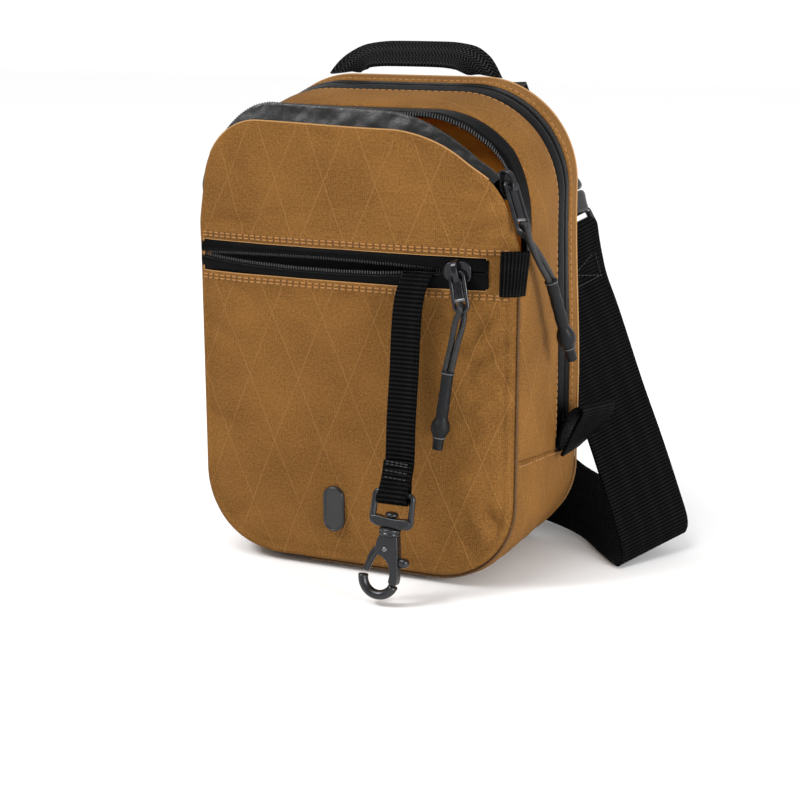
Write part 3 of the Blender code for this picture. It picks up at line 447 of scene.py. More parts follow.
def webbing(name, pitch, wide, pale=0.011, herringbone=False):
    """Black nylon webbing with ribs across the strip every pitch, yarns between them and plain edges. The rib
    crests are painted paler, a painted highlight.
    """
    graph = Graph(name, 0.5)
    graph.set("Specular IOR Level", 0.03)
    vector, across, along = graph.lay()
    if herringbone:
        zig = graph.math("PINGPONG", across, 2.2)
        run = graph.math("MULTIPLY_ADD", zig, 0.8, along)
    else:
        run = along
    rib = graph.ribs(run, pitch, 1.4)
    yarn = graph.ribs(across, 1.0)
    fuzz = graph.noise(vector, 0.9, 3.0)
    bands = graph.ribs(across, 9.5, 3.0)
    edge = graph.span(graph.math("ABSOLUTE", across), wide / 2 - 1.6, wide / 2 - 1.0)
    # Rib crests are painted paler: a painted highlight on the ribs.
    rib_highlight = graph.math("MULTIPLY", rib, graph.math("MULTIPLY_ADD", yarn, 0.5, 0.5))
    striped = graph.math("MULTIPLY_ADD", bands, 0.12, graph.math("MULTIPLY", fuzz, 0.4))
    tone = graph.math("MULTIPLY_ADD", rib_highlight, 0.7, striped)
    colour = graph.colour(graph.span(tone, 0.3, 1.0), (0.0004, 0.0004, 0.0005), (pale, pale, pale * 1.04))
    ribbed = graph.math("MULTIPLY", rib, graph.math("SUBTRACT", 1.0, graph.math("MULTIPLY", edge, 0.6)))
    height = graph.math("MULTIPLY_ADD", yarn, 0.3, graph.math("MULTIPLY_ADD", ribbed, 1.0,
                        graph.math("MULTIPLY", fuzz, 0.4)))
    rough = graph.span(fuzz, 0.2, 0.8, 0.4, 0.6)
    return graph.end(colour, height, 0.4, rough)


def coated(name, gloss, rough_low=0.3, rough_high=0.5, base=0.002):
    """Black zip tape under a smooth film, with the fabric faintly showing through."""
    graph = Graph(name, 0.35)
    graph.set("Specular IOR Level", gloss)
    place = graph.place()
    fine = graph.noise(place, 1.8, 3.0)
    soft = graph.noise(place, 0.12, 4.0)
    colour = graph.colour(soft, (base * 0.8, base * 0.82, base * 0.88),
                          (base * 1.7, base * 1.75, base * 1.85))
    height = graph.math("MULTIPLY_ADD", fine, 0.35, soft)
    return graph.end(colour, height, 0.25, graph.span(fine, 0.3, 0.7, rough_low, rough_high))


def hard(name, base, roughness, metallic=0.0, coat=0.0, grain=2.5, depth=0.02, variation=1.35, gloss=0.5):
    """Moulded plastic, rubber or plated metal with a fine grain and slight wear in its gloss."""
    graph = Graph(name, roughness, metallic)
    graph.set("Specular IOR Level", gloss)
    if coat:
        graph.set("Coat Weight", coat).set("Coat Roughness", 0.12)
    place = graph.place()
    fine = graph.noise(place, grain, 4.0)
    soft = graph.noise(place, 0.25, 3.0)
    pale = tuple(channel * variation for channel in base)
    colour = graph.colour(soft, base, pale)
    rough = graph.span(soft, 0.3, 0.7, roughness * 0.8, roughness * 1.25)
    return graph.end(colour, fine, depth, rough)


def cord_look(name):
    """Braided cord, as fine mottled strands."""
    graph = Graph(name, 0.38)
    graph.set("Specular IOR Level", 0.35)
    place = graph.place()
    strands = graph.noise(place, 2.4, 2.0)
    colour = graph.colour(graph.span(strands, 0.35, 0.7), (0.002, 0.002, 0.0025), (0.022, 0.022, 0.023))
    return graph.end(colour, strands, 0.3, graph.span(strands, 0.3, 0.7, 0.35, 0.5))


def mesh_pad(name):
    """Spacer mesh: small round cells in a staggered grid."""
    graph = Graph(name, 0.8)
    graph.set("Sheen Weight", 0.3)
    place = graph.place()
    cells = graph.node("ShaderNodeTexVoronoi", [("Scale", 0.55), ("Randomness", 0.15)])
    graph.put(cells.inputs["Vector"], place)
    hole = graph.span(cells.outputs["Distance"], 0.25, 0.5, 0.0, 1.0)
    colour = graph.colour(hole, (0.004, 0.004, 0.004), (0.035, 0.035, 0.037))
    return graph.end(colour, hole, 0.5)


TAN = (0.166, 0.076, 0.0195)
LOOKS = {
    "tan": pack_cloth("tan_cloth", TAN),
    "orange": lining_cloth("orange_cloth", (1.0, 0.34, 0.02)),
    # The pouch's dark cloth is painted shade for the pocket zip's gap.
    "shade_dark_lining": lining_cloth("painted_shade_cloth", (0.012, 0.012, 0.013)),
    # The webbing looks' paler rib crests are a painted highlight.
    "strap": webbing("strap_web", 1.5, 38.0),
    "leash": webbing("leash_web", 1.7, 12.0),
    "loop": webbing("loop_web", 1.3, 17.0),
    "handle": webbing("handle_web", 1.5, 15.0, 0.035, herringbone=True),
    "tape": coated("tape_film", 0.04),
    "film": coated("flap_film", 0.4, 0.34, 0.5, base=0.003),
    "coil": hard("coil_nylon", (0.012, 0.012, 0.013), 0.4, grain=3.0),
    "metal": hard("gunmetal_plate", (0.034, 0.0345, 0.037), 0.3, 0.85, grain=6.0, depth=0.002),
    "slider": hard("slider_plate", (0.014, 0.014, 0.016), 0.2, 0.6, grain=6.0, depth=0.002),
    "plastic": hard("buckle_mould", (0.006, 0.006, 0.007), 0.22, 0.0, coat=0.2, grain=5.0, depth=0.004),
    "bar": hard("satin_steel", (0.13, 0.13, 0.135), 0.35, 0.8, grain=6.0, depth=0.002),
    "cord": cord_look("cord_braid"),
    "sleeve": hard("sleeve_shrink", (0.006, 0.0063, 0.007), 0.45, grain=1.2, depth=0.06, gloss=0.15),
    "rim": hard("sleeve_edge", (0.06, 0.06, 0.062), 0.45, grain=1.2, depth=0.05, gloss=0.3),
    "badge": hard("badge_rubber", (0.009, 0.009, 0.01), 0.38, grain=2.0, depth=0.03),
    "thread": hard("tan_thread", (0.25, 0.112, 0.026), 0.7, grain=1.6, depth=0.05, variation=1.4),
    "black_thread": hard("black_thread", (0.006, 0.006, 0.007), 0.6, grain=2.0, depth=0.05),
    # The needle holes' dark colour is painted shade in the holes.
    "hole": hard("needle_hole_shade", (0.055, 0.024, 0.006), 0.9, grain=2.0, depth=0.02),
    # The pale edge colour is a painted highlight along the cloth's edges; the pale rear binding uses it too.
    "edge": hard("pale_binding_and_edge_highlight", (0.30, 0.155, 0.05), 0.8, grain=1.2, depth=0.06),
    # The dark seam colour is a painted shadow line in the front seam.
    "seam_shadow": hard("painted_seam_shadow", (0.075, 0.034, 0.009), 0.9, grain=1.0, depth=0.05),
    "pad": mesh_pad("pad_mesh"),
    "foam": hard("foam_sheet", (0.12, 0.12, 0.12), 0.9, grain=1.0, depth=0.2),
}


# The body and slot that many pieces share

CLOTH = {"body": "bag", "slot": "tan_fabric"}
LINING = {"body": "bag", "slot": "orange_lining"}
TAPE = {"body": "bag", "slot": "coated_tape"}
COIL = {"body": "bag", "slot": "zip_coil"}
WEBBING = {"body": "bag", "slot": "black_webbing"}


# Camera, floor and light

CAMERA_TARGET = Vector((5.2, 0.0, 64.9))
CAMERA_AWAY = 700.0
CAMERA_AZIMUTH = math.radians(22.7)
CAMERA_RISE = math.radians(14.5)
CAMERA_LENS = 74.4
LIGHT_AIM = (0, 0, 0.09)
KEY_POWER = 8.0
FILL_POWER = 9.5
SUN_POWER = 1.5
SUN_SPREAD = 0.7
FLOOR_SIZE = 3000.0
FLOOR_DROP = 0.2


def make_camera():
    level = math.cos(CAMERA_RISE)
    back = Vector((math.sin(CAMERA_AZIMUTH) * level, -math.cos(CAMERA_AZIMUTH) * level,
                   math.sin(CAMERA_RISE)))
    data = bpy.data.cameras.new("view")
    data.lens = CAMERA_LENS
    data.sensor_width = 36.0
    data.clip_start = 0.01
    camera = bpy.data.objects.new("view", data)
    bpy.context.scene.collection.objects.link(camera)
    camera.location = (CAMERA_TARGET + back * CAMERA_AWAY) * MM
    camera.rotation_euler = back.to_track_quat("Z", "Y").to_euler()
    bpy.context.scene.camera = camera


def make_light(name, kind, power, back):
    """A light that shines against the direction back."""
    data = bpy.data.lights.new(name, kind)
    data.energy = power
    light = bpy.data.objects.new(name, data)
    bpy.context.scene.collection.objects.link(light)
    light.rotation_euler = Vector(back).to_track_quat("Z", "Y").to_euler()
    return light


def area_light(name, place, size, power):
    light = make_light(name, "AREA", power, Vector(place) - Vector(LIGHT_AIM))
    light.data.shape = "DISK"
    light.data.size = size
    light.location = place


def make_stage():
    world = bpy.data.worlds.new("studio")
    world.use_nodes = True
    tree = world.node_tree
    direction = tree.nodes.new("ShaderNodeTexCoord").outputs["Generated"]
    split = tree.nodes.new("ShaderNodeSeparateXYZ")
    tree.links.new(direction, split.inputs[0])
    shade = tree.nodes.new("ShaderNodeMapRange")
    shade.interpolation_type = "SMOOTHSTEP"
    for socket, value in zip(shade.inputs[1:5], (-0.5, 0.45, 0.34, 1.05)):
        socket.default_value = value
    tree.links.new(split.outputs[1], shade.inputs[0])
    back = tree.nodes["Background"]
    tree.links.new(shade.outputs[0], back.inputs["Color"])
    back.inputs["Strength"].default_value = 1.0
    bpy.context.scene.world = world
    bpy.context.scene.view_settings.view_transform = "Standard"
    area_light("key", (-0.62, -0.62, 0.95), 0.35, KEY_POWER)
    area_light("fill", (0.98, -0.40, 0.30), 0.5, FILL_POWER)
    overhead = make_light("overhead", "SUN", SUN_POWER, (-0.35, -0.45, 1.0))
    overhead.data.angle = SUN_SPREAD
    floor_bm = bmesh.new()
    bmesh.ops.create_grid(floor_bm, x_segments=4, y_segments=4, size=FLOOR_SIZE)
    graph = Graph("floor_white", 0.75)
    soft = graph.noise(graph.place(), 0.002, 2.0)
    LOOKS["floor"] = graph.end(graph.colour(soft, (0.86, 0.86, 0.86), (0.88, 0.88, 0.88)), soft, 0.0)
    floor = finish_mesh("floor", floor_bm, "floor")
    floor.location.z = -FLOOR_DROP * MM


make_camera()
make_stage()


# Cords


POCKET_HINGE = Vector((46.3, -42.69, 129.37))
MAIN_HINGE = Vector((-74.9, 18.5, 106.0))
FRONT_HINGE = Vector((63.34, -31.2, 163.51))
RING_WIDE = 5.5
RING_WIRE = 0.8
CORD_RADIUS = 1.2
CORD_TURN = 2.3
SLEEVE_RADIUS = 2.38
SLEEVE_NECK = 0.845
SLEEVE_KNOT = [(2.3, 0.575), (2.45, 0.6), (3.1, 0.64), (3.6, 0.68), (3.75, 0.72), (3.65, 0.76), (3.1, 0.80),
               (2.5, 0.83), (2.25, SLEEVE_NECK), (2.45, 0.86), (2.3, 0.875), (2.2, 0.9), (2.1, 0.975),
               (2.2, 0.985), (2.05, 1), (0, 1)]
PULLS = {"pocket": (POCKET_HINGE, (49.6, -45.0, 115.0), (44.6, -46.0, 91.5), (40.6, -46.8, 59.8),
                    (0, -1, 0)), "main": (MAIN_HINGE, (-75.9, 18.5, 90.5), (-76.4, 18.5, 66.0),
                                          (-76.4, 18.5, 33.0), (-1, 0, 0)),
         "front": (FRONT_HINGE, (71.0, -36.4, 146.0), (77.6, -22.6, 125.6), (82.8, -8.4, 91.4),
                   (0.85, -0.5, 0.1)), }


def cord_path(bar, ring_way, mouth, outward):
    """A doubled cord: out of the sleeve, over the ring's far bar and back, with a quarter twist."""
    half_turn = [(CORD_TURN, 0), (0.71 * CORD_TURN, 0.71 * CORD_TURN), (0, CORD_TURN),
                 (-0.71 * CORD_TURN, 0.71 * CORD_TURN), (-CORD_TURN, 0)]
    over = [bar + outward * s - ring_way * r for s, r in half_turn]
    way = (mouth - bar).normalized()
    near_bar = bar + way * 5.0
    inside = mouth + way * 2.0
    spread = CORD_RADIUS + 0.05
    beside = way.cross(outward).normalized()
    twisted = (outward + beside).normalized()
    up = [inside + beside * spread * 0.6, mouth + beside * spread,
          mix(near_bar, mouth, 0.5) + beside * spread, near_bar + twisted * spread * 1.3]
    down = [near_bar - twisted * spread * 1.3, mix(near_bar, mouth, 0.5) - beside * spread,
            mouth - beside * spread, inside - beside * spread * 0.6]
    return [Vector(point) for point in spline([tuple(point) for point in up + over + down], 4)]


def turned(name, profile, seat, look, steps=32, **facts):
    """A profile of (radius, height) pairs turned around local Z. Its first and last pair close it."""
    rings = [[seat @ Vector((radius * cosine, radius * sine, height)) for cosine, sine in around(steps)]
             for radius, height in profile[1:-1]]
    return skin(name, rings, look, **facts)


def tube_mesh(name, points, radius, look, sides=10, closed=False, flat=1.0, up=None, **facts):
    """A round or flattened bar along points. radius may be a list, one for each point."""
    points = [Vector(point) for point in points]
    count = len(points)
    radii = radius if isinstance(radius, list) else [radius] * count
    rings = []
    side = None
    for index, point in enumerate(points):
        before = points[index - 1] if index or closed else point
        after = points[(index + 1) % count] if index + 1 < count or closed else point
        way = (after - before).normalized()
        if up is not None:
            side = way.cross(Vector(up)).normalized()
        elif side is None:
            side = way.orthogonal().normalized()
        else:
            side = (side - way * side.dot(way)).normalized()
        over = side.cross(way)
        rings.append([point + (side * cosine + over * sine * flat) * radii[index]
                      for cosine, sine in around(sides)])
    return skin(name, rings, look, closed, **facts)


def make_cords():
    """The doubled cords of the three zip pulls, each with its shrunk sleeve and knot."""
    for prefix, (hinge, far, mouth, tail, outward) in PULLS.items():
        body = prefix + "_pull"
        far, mouth, tail = Vector(far), Vector(mouth), Vector(tail)
        way = (far - hinge).normalized()
        across = way.cross(Vector(outward)).normalized()
        path = cord_path(far, way, mouth, across.cross(way))
        curve = bpy.data.curves.new(prefix + "_cord", "CURVE")
        curve.dimensions = "3D"
        line = curve.splines.new("POLY")
        line.points.add(len(path) - 1)
        for slot, point in zip(line.points, path):
            slot.co = (*(point * MM), 1.0)
        curve.bevel_depth = CORD_RADIUS * MM
        curve.bevel_resolution = 6
        curve.use_fill_caps = True
        curve.materials.append(LOOKS["cord"])
        cord = bpy.data.objects.new(prefix + "_cord", curve)
        bpy.context.scene.collection.objects.link(cord)
        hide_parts(prefix + "_pull_cord")
        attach(cord, body)
        sleeve = make_sleeve(prefix, mouth, tail, body)


def make_sleeve(prefix, mouth, tail, body):
    """A shrunk tube over the cord's ends: a flat-sided grip, the bulge of the knot and a short tail."""
    length = (tail - mouth).length
    profile = [(0, 0.3), (1.5, 0.3), (2.35, 0.35), (2.6, 0.7), (2.6, 1.2), (2.4, 1.7), (2.3, 2.6)]
    for share in even_steps(0, 1, 23):
        radius = mix(2.3, 2.45, share) + 0.06 * math.sin(share * 17)
        profile.append((radius, mix(3.2, length * 0.55, share)))
    profile += [(radius, length * share) for radius, share in SLEEVE_KNOT]
    turn = Matrix.Translation(mouth) @ (tail - mouth).to_track_quat("Z", "X").to_matrix().to_4x4()
    for number, height in enumerate((1.0, length * SLEEVE_NECK)):
        ring = [turn @ Vector((SLEEVE_RADIUS * cosine, SLEEVE_RADIUS * sine, height))
                for cosine, sine in around(28)]
        tube_mesh("%s_sleeve_rim_%d" % (prefix, number), ring, 0.32, "rim", 8, True, body=body,
                  slot="shrink_sleeve")
    return turned(prefix + "_sleeve", profile, turn, "sleeve", body=body, slot="shrink_sleeve",
                  replaces=[prefix + "_pull_sleeve"])


make_cords()


# The bag's outline

GIRTH_END = 12.0
RIGHT_SHOULDER = 1.0
LEFT_SHOULDER = 6.0
LEFT_SEAM = 7.0
SIDE_LEAN = 2.8
FLAP_DROP = 3.6
FLAP_LEAN = 4.0
DIVIDER_SAG = 5.0
ZIP_STOP = mix(LEFT_SHOULDER, LEFT_SEAM, (SHOULDER_Z - ZIP_END_Z) / (SHOULDER_Z - SEAM_REAR_Z))


def section(y):
    """Half width, top height and the two upper corner radii of the outline at depth y."""
    share = ramp(y, FRONT_Y, REAR_Y)
    corner = ramp(y, FRONT_Y, FRONT_Y + CORNER_RUN)
    return (mix(FRONT_HALF, REAR_HALF, share), mix(FRONT_TOP, REAR_TOP, share),
            mix(FRONT_RADIUS_RIGHT, REAR_RADIUS, corner), mix(FRONT_RADIUS_LEFT, REAR_RADIUS, corner))


def foot_height(y):
    """The base is flat, and rolls up a little towards its front and rear seams."""
    front = FRONT_FOOT_RISE * (1 - ramp(y, FRONT_Y, FRONT_Y + FOOT_ROLL))
    rear = REAR_FOOT_RISE * ramp(y, REAR_Y - FOOT_ROLL, REAR_Y)
    return max(front, rear)


def lean(x, y, z):
    """How far the right side leans in towards its top."""
    return SIDE_LEAN * ease(z, 70, 150) * ramp(y, -20, REAR_Y) * ramp(x, 0, 50)


def girth(t, y):
    """Outline at depth y: t is 2 up the right side, 5 past the top, 7 down the left, 12 round the foot."""
    x, z = girth_square(t % GIRTH_END, y)
    x -= lean(x, y, z)
    return x, z


def girth_square(t, y):
    """The outline before its right side leans in."""
    half, top, right, left = section(y)
    low = foot_height(y)
    seam = mix(SEAM_FRONT_Z, SEAM_REAR_Z, ramp(y, FRONT_Y, REAR_Y))
    if t <= 1:
        return half, mix(seam, SHOULDER_Z, t)
    if t <= 2:
        return half, mix(SHOULDER_Z, top - right, t - 1)
    if t <= 3:
        angle = math.pi / 2 * (t - 2)
        return half - right + right * math.cos(angle), top - right + right * math.sin(angle)
    if t <= 4:
        return mix(half - right, left - half, t - 3), top
    if t <= 5:
        angle = math.pi / 2 * (t - 3)
        return left - half + left * math.cos(angle), top - left + left * math.sin(angle)
    if t <= 6:
        return -half, mix(top - left, SHOULDER_Z, t - 5)
    if t <= 7:
        return -half, mix(SHOULDER_Z, seam, t - 6)
    if t <= 8:
        return -half, mix(seam, low + FOOT_RADIUS, t - 7)
    if t <= 9:
        angle = math.pi * (1 + 0.5 * (t - 8))
        return FOOT_RADIUS - half + FOOT_RADIUS * math.cos(angle), low + FOOT_RADIUS * (1 + math.sin(angle))
    if t <= 10:
        return mix(FOOT_RADIUS - half, half - FOOT_RADIUS, t - 9), low
    if t <= 11:
        angle = math.pi * (1.5 + 0.5 * (t - 10))
        return half - FOOT_RADIUS + FOOT_RADIUS * math.cos(angle), low + FOOT_RADIUS * (1 + math.sin(angle))
    return half, mix(low + FOOT_RADIUS, seam, t - 11)


def outward(t, y):
    """Outward normal of the outline, in X and Z."""
    before, after = girth(t - 0.01, y), girth(t + 0.01, y)
    run = Vector((after[0] - before[0], after[1] - before[1])).normalized()
    return run.y, -run.x


def on_girth(t, y, out):
    """A point out millimetres outside the outline."""
    x, z = girth(t, y)
    nx, nz = outward(t, y)
    return Vector((x + nx * out, y, z + nz * out))


def stops(start, stop, pitch, y=5.0):
    """Places along the outline, about pitch apart, as (t, length from the start)."""
    count = 1200
    fine = [mix(start, stop, index / count) for index in range(count + 1)]
    points = [Vector(girth(t, y)) for t in fine]
    lengths = [0.0]
    for before, after in zip(points, points[1:]):
        lengths.append(lengths[-1] + (after - before).length)
    steps = max(2, round(lengths[-1] / pitch))
    result = []
    at = 0
    for step in range(steps + 1):
        goal = lengths[-1] * step / steps
        while at < count - 1 and lengths[at + 1] < goal:
            at += 1
        share = (goal - lengths[at]) / max(1e-9, lengths[at + 1] - lengths[at])
        result.append((mix(fine[at], fine[at + 1], min(1.0, share)), goal))
    return result


def rim_edge(t):
    """Front edge of the front gusset: on the front seam below the shoulders, set back above them."""
    if t <= RIGHT_SHOULDER or t >= LEFT_SHOULDER:
        return FRONT_EDGE_Y
    if t < 3.5:
        near = (t - 1) if t < 2 else 1 + (t - 2) * 9
    else:
        near = (6 - t) if t > 5 else 1 + (5 - t) * 9
    return mix(FRONT_Y + 9.6, -17.0, ramp(near, 0, 5))


def panel_surface(x, z):
    """Depth of the front panel's inner face."""
    across = 1 - abs(x / FRONT_HALF) ** 3
    up = 1 - abs((z - PANEL_MID_Z) / PANEL_REACH_Z) ** 4
    return FRONT_Y - 0.2 - PANEL_BULGE * max(0.0, across) * max(0.0, up)


def corner_rise(x, half, radius):
    """Height of a rounded corner's edge over the corner's centre, x from the middle."""
    reach = max(0.0, abs(x) - (half - radius))
    return math.sqrt(max(0.0, radius ** 2 - reach ** 2))


def outline_low(x):
    """Lower edge of the front cloth."""
    return FRONT_FOOT_RISE + PANEL_INSET + FOOT_RADIUS - corner_rise(x, FRONT_HALF, FOOT_RADIUS)


def outline_high(x):
    """Upper edge of the flap."""
    radius = FRONT_RADIUS_RIGHT if x > 0 else FRONT_RADIUS_LEFT
    drop = FLAP_DROP * mix(0.5, 1.0, ease(x, -55, 25)) * (1 - ease(x, 48, 62))
    return FRONT_TOP - PANEL_INSET - radius + corner_rise(x, FRONT_HALF, radius) - drop


def fold_height(x):
    """Height of the fold between panel and flap."""
    run = FOLD_RIGHT - FOLD_LEFT
    return FOLD_LEFT.z + run.z * (x - FOLD_LEFT.x) / run.x


def border_distance(x, z, half, low, high, foot, right, left):
    """How far a point lies inside a rectangle with rounded corners."""
    middle = (low + high) / 2
    radius = foot if z < middle else (right if x > 0 else left)
    across = abs(x) - (half - radius)
    along = z - (high - radius) if z > middle else low + radius - z
    if across > 0 and along > 0:
        return radius - math.hypot(across, along)
    return radius - max(across, along)


def rolled(distance, radius):
    """How far a border curls back at a distance from its edge."""
    if distance >= radius:
        return 0.0
    inner = radius - max(0.0, distance)
    return radius - math.sqrt(max(0.0, radius ** 2 - inner ** 2))


def crease(x, z, start, stop, width, depth):
    """A pressed fold from start to stop: a valley with a soft ridge on one side."""
    way = Vector((stop[0] - start[0], stop[1] - start[1]))
    length = way.length
    way.normalize()
    along = ((x - start[0]) * way.x + (z - start[1]) * way.y) / length
    if not 0 < along < 1:
        return 0.0
    side = -(x - start[0]) * way.y + (z - start[1]) * way.x
    fade = math.sin(math.pi * along) ** 0.6
    valley = math.exp(-(side / width) ** 2)
    ridge = math.exp(-((side - 1.8 * width) / (1.6 * width)) ** 2)
    return depth * fade * (valley - 0.7 * ridge)


# Front cloth

FRONT_CREASES = [
    ((63, 114), (44, 103), 3.6, 1.9), ((67, 103), (49, 92), 3.0, 1.8), ((69, 90), (50, 76), 3.4, 1.0),
    ((66, 72), (46, 62), 3.8, 0.9), ((69, 60), (56, 46), 3.0, 0.9), ((67, 26), (53, 33), 2.0, 1.7),
    ((64, 18), (57, 38), 2.2, 1.2), ((58, 10), (46, 22), 2.6, 0.8), ((-68, 104), (-50, 92), 3.4, 0.8),
    ((-68, 64), (-52, 56), 4.0, 0.8), ((-60, 14), (-44, 24), 3.0, 0.7), ((-34, 114), (-8, 106), 3.6, 0.6),
    ((10, 116), (26, 100), 3.2, 0.7), ((-20, 44), (8, 36), 4.5, 0.5), ((34, 118), (46, 98), 2.4, 0.8),
    ((-56, 120), (-38, 108), 3.0, 0.7), ((67, 150), (50, 143), 2.2, 1.3), ((60, 160), (47, 150), 2.0, 1.3),
    ((52, 171), (40, 160), 2.8, 0.9), ((-60, 170), (-44, 158), 3.0, 0.7), ((-20, 181), (6, 172), 3.0, 0.6),
    ((14, 183), (34, 172), 2.6, 0.7), ((64, 142), (40, 138), 2.4, 0.7), ((-66, 146), (-40, 140), 3.0, 0.6),
]


def front_relief(x, z):
    """How far the front cloth stands back from its smooth shape, from its wrinkles and folds."""
    back = sum(crease(x, z, *stroke) for stroke in FRONT_CREASES)
    back += 0.55 * wave(x, 3.0, z, 34.0) + 0.28 * wave(x * 1.3, 9.0, z * 0.8, 13.0)
    right_side = ease(x, 30, 66)
    back += (0.25 + 0.5 * right_side) * wave(x, 17.0, z * 1.4, 7.5)
    fold = (z - fold_height(x)) * FOLD_COSINE
    back += 0.5 * math.exp(-(fold / 2.2) ** 2)
    window_left, window_right, window_low, window_high = WINDOW
    inside = min(x - window_left, window_right - x)
    if inside > -6:
        above = z - window_high
        below = window_low - z
        edge = above if above >= 0 else below
        back -= 0.45 * math.exp(-((edge - 3.2) / 2.0) ** 2) * ramp(inside, -6, 2)
        back += 0.25 * math.exp(-((edge - 6.5) / 2.0) ** 2) * ramp(inside, -6, 2)
    return back


def leaned(x, z):
    """The flap's left side draws in towards its top."""
    return x + FLAP_LEAN * ease(z, 132, 172) * ramp(-x, 0, 69)


def front_depth(x, z):
    """Depth of the front cloth's outer face."""
    inside = border_distance(x, z, FRONT_HALF - PANEL_INSET, FRONT_FOOT_RISE + PANEL_INSET,
                             FRONT_TOP - PANEL_INSET, FOOT_RADIUS, FRONT_RADIUS_RIGHT, FRONT_RADIUS_LEFT)
    open_edge = ease(z, SHOULDER_Z, SHOULDER_Z + 14)
    seam = rolled(inside, 3.0) * (1 - 0.75 * open_edge)
    groove = 0.55 * math.exp(-((inside - 4.6) / 1.3) ** 2)
    still = ease(inside, 0, 5)
    return panel_surface(x, z) - SHELL + seam + groove * (1 - open_edge) + still * front_relief(x, z)


def make_front_cloth():
    left, right, low, high = WINDOW
    half = FRONT_HALF - PANEL_INSET
    columns = 150
    xs = [-half * math.cos(math.pi * column / columns) for column in range(columns + 1)]
    for edge in (left, right):
        nearest = min(range(len(xs)), key=lambda index: abs(xs[index] - edge))
        xs[nearest] = edge
    lower_rows, window_rows, upper_rows = 84, 9, 40
    rows, lays = [], []
    for x in xs:
        levels = even_steps(outline_low(x), low, lower_rows)[:-1]
        levels += even_steps(low, high, window_rows)[:-1]
        levels += even_steps(high, outline_high(x), upper_rows)
        rows.append([(leaned(x, z), front_depth(x, z), z) for z in levels])
        lays.append([(x, z, 0.0) for z in levels])

    def in_window(index, column):
        middle = (xs[index] + xs[index + 1]) / 2
        return left < middle < right and lower_rows <= column < lower_rows + window_rows

    cloth = sheet("front_cloth", rows, "tan", lays, drop=in_window, slot="tan_fabric",
                  replaces=["front_panel", "front_flap"])
    freeze(thicken(cloth, CLOTH_THICK, offset=1.0))
    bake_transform(cloth)


def make_edge_highlights():
    """Pale lines along the cloth's cut edges round the pocket zip and along the flap: a painted highlight on
    those edges.
    """
    left, right, low, high = WINDOW
    long, short = even_steps(left, right, 80), even_steps(low, high, 12)
    edges = {"upper": [(x, high) for x in long], "lower": [(x, low) for x in long],
             "left": [(left, z) for z in short], "right": [(right, z) for z in short]}
    # Each pale tube is a painted highlight along the edge.
    for name, places in edges.items():
        line = [Vector((x, front_depth(x, z) + 0.15, z)) for x, z in places]
        tube_mesh("window_edge_" + name, line, 0.22, "edge", 8, **CLOTH)
    line = []
    for x in eased_steps(-66.5, 57.0, 120):
        z = outline_high(x)
        line.append(Vector((leaned(x, z), front_depth(x, z) + 0.2, z + 0.05)))
    tube_mesh("flap_edge", line, 0.32, "edge", 8, body="flap", slot="tan_fabric")


# Gussets, back and linings


def cloth_band(name, start, stop, edges, look, puff=0.0, wrinkle=0.5, pitch=1.8, steps=24, rolls=(0.0, 0.0),
               thickness=CLOTH_THICK, inset=0.0, scale=12.0, **facts):
    """A cloth band round the outline between two depths that edges(t) gives, with its borders rolled in."""
    rows, lays = [], []
    for t, length in stops(start, stop, pitch):
        front, rear = edges(t)
        front_roll = rolls[0](t) if callable(rolls[0]) else rolls[0]
        row, lay = [], []
        for share in even_steps(0, 1, steps):
            y = mix(front, rear, share)
            still = 4 * share * (1 - share)
            out = puff * still - inset
            lumps = wave(length, y, 5.0, 2.6 * scale) + 0.6 * wave(length, 1.7 * y, 25.0, scale)
            out -= wrinkle * lumps * min(1.0, 2 * still)
            out -= rolled(y - front, front_roll) + rolled(rear - y, rolls[1])
            row.append(on_girth(t, y, out))
            lay.append((y, length, 0.0))
        rows.append(row)
        lays.append(lay)
    band = sheet(name, rows, look, lays, **facts)
    return thicken(band, thickness)


def gusset_edges_front(t):
    return rim_edge(t), (ZIP_MID if t > ZIP_STOP else ZIP_FRONT) - ZIP_EDGE


def gusset_edges_rear(t):
    return (ZIP_MID if t > ZIP_STOP else ZIP_REAR) + ZIP_EDGE, REAR_EDGE_Y


def gusset_roll(t):
    """The front gusset rolls under the panel at the bag's sides, and less beside the zip."""
    return mix(SEAM_ROLL, 0.8, ease(t, 0.75, 1.1) * (1 - ease(t, 5.9, 6.2)))


def make_gussets():
    start, stop = 0.003, LEFT_SEAM - 0.003
    cloth_band("front_gusset_cloth", start, stop, gusset_edges_front, "tan", puff=1.0, wrinkle=0.7,
               rolls=(gusset_roll, ZIP_ROLL), **CLOTH, replaces=["front_gusset"])
    cloth_band("rear_gusset_cloth", start, stop, gusset_edges_rear, "tan", puff=0.3, wrinkle=0.3, steps=10,
               rolls=(ZIP_ROLL, ZIP_ROLL), **CLOTH, replaces=["rear_gusset"])
    cloth_band("boot_cloth", LEFT_SEAM + 0.02, GIRTH_END - 0.02, lambda t: (FRONT_EDGE_Y, REAR_EDGE_Y),
               "tan", wrinkle=0.75, steps=46, rolls=(SEAM_ROLL, 2.2), **CLOTH, replaces=["bottom_gusset"])
    for name, t in (("right_boot_seam", GIRTH_END), ("left_boot_seam", LEFT_SEAM)):
        path = [on_girth(t, y, -0.9) for y in range(-34, 36)]
        tube_mesh(name, path, 0.7, "tan", **CLOTH)


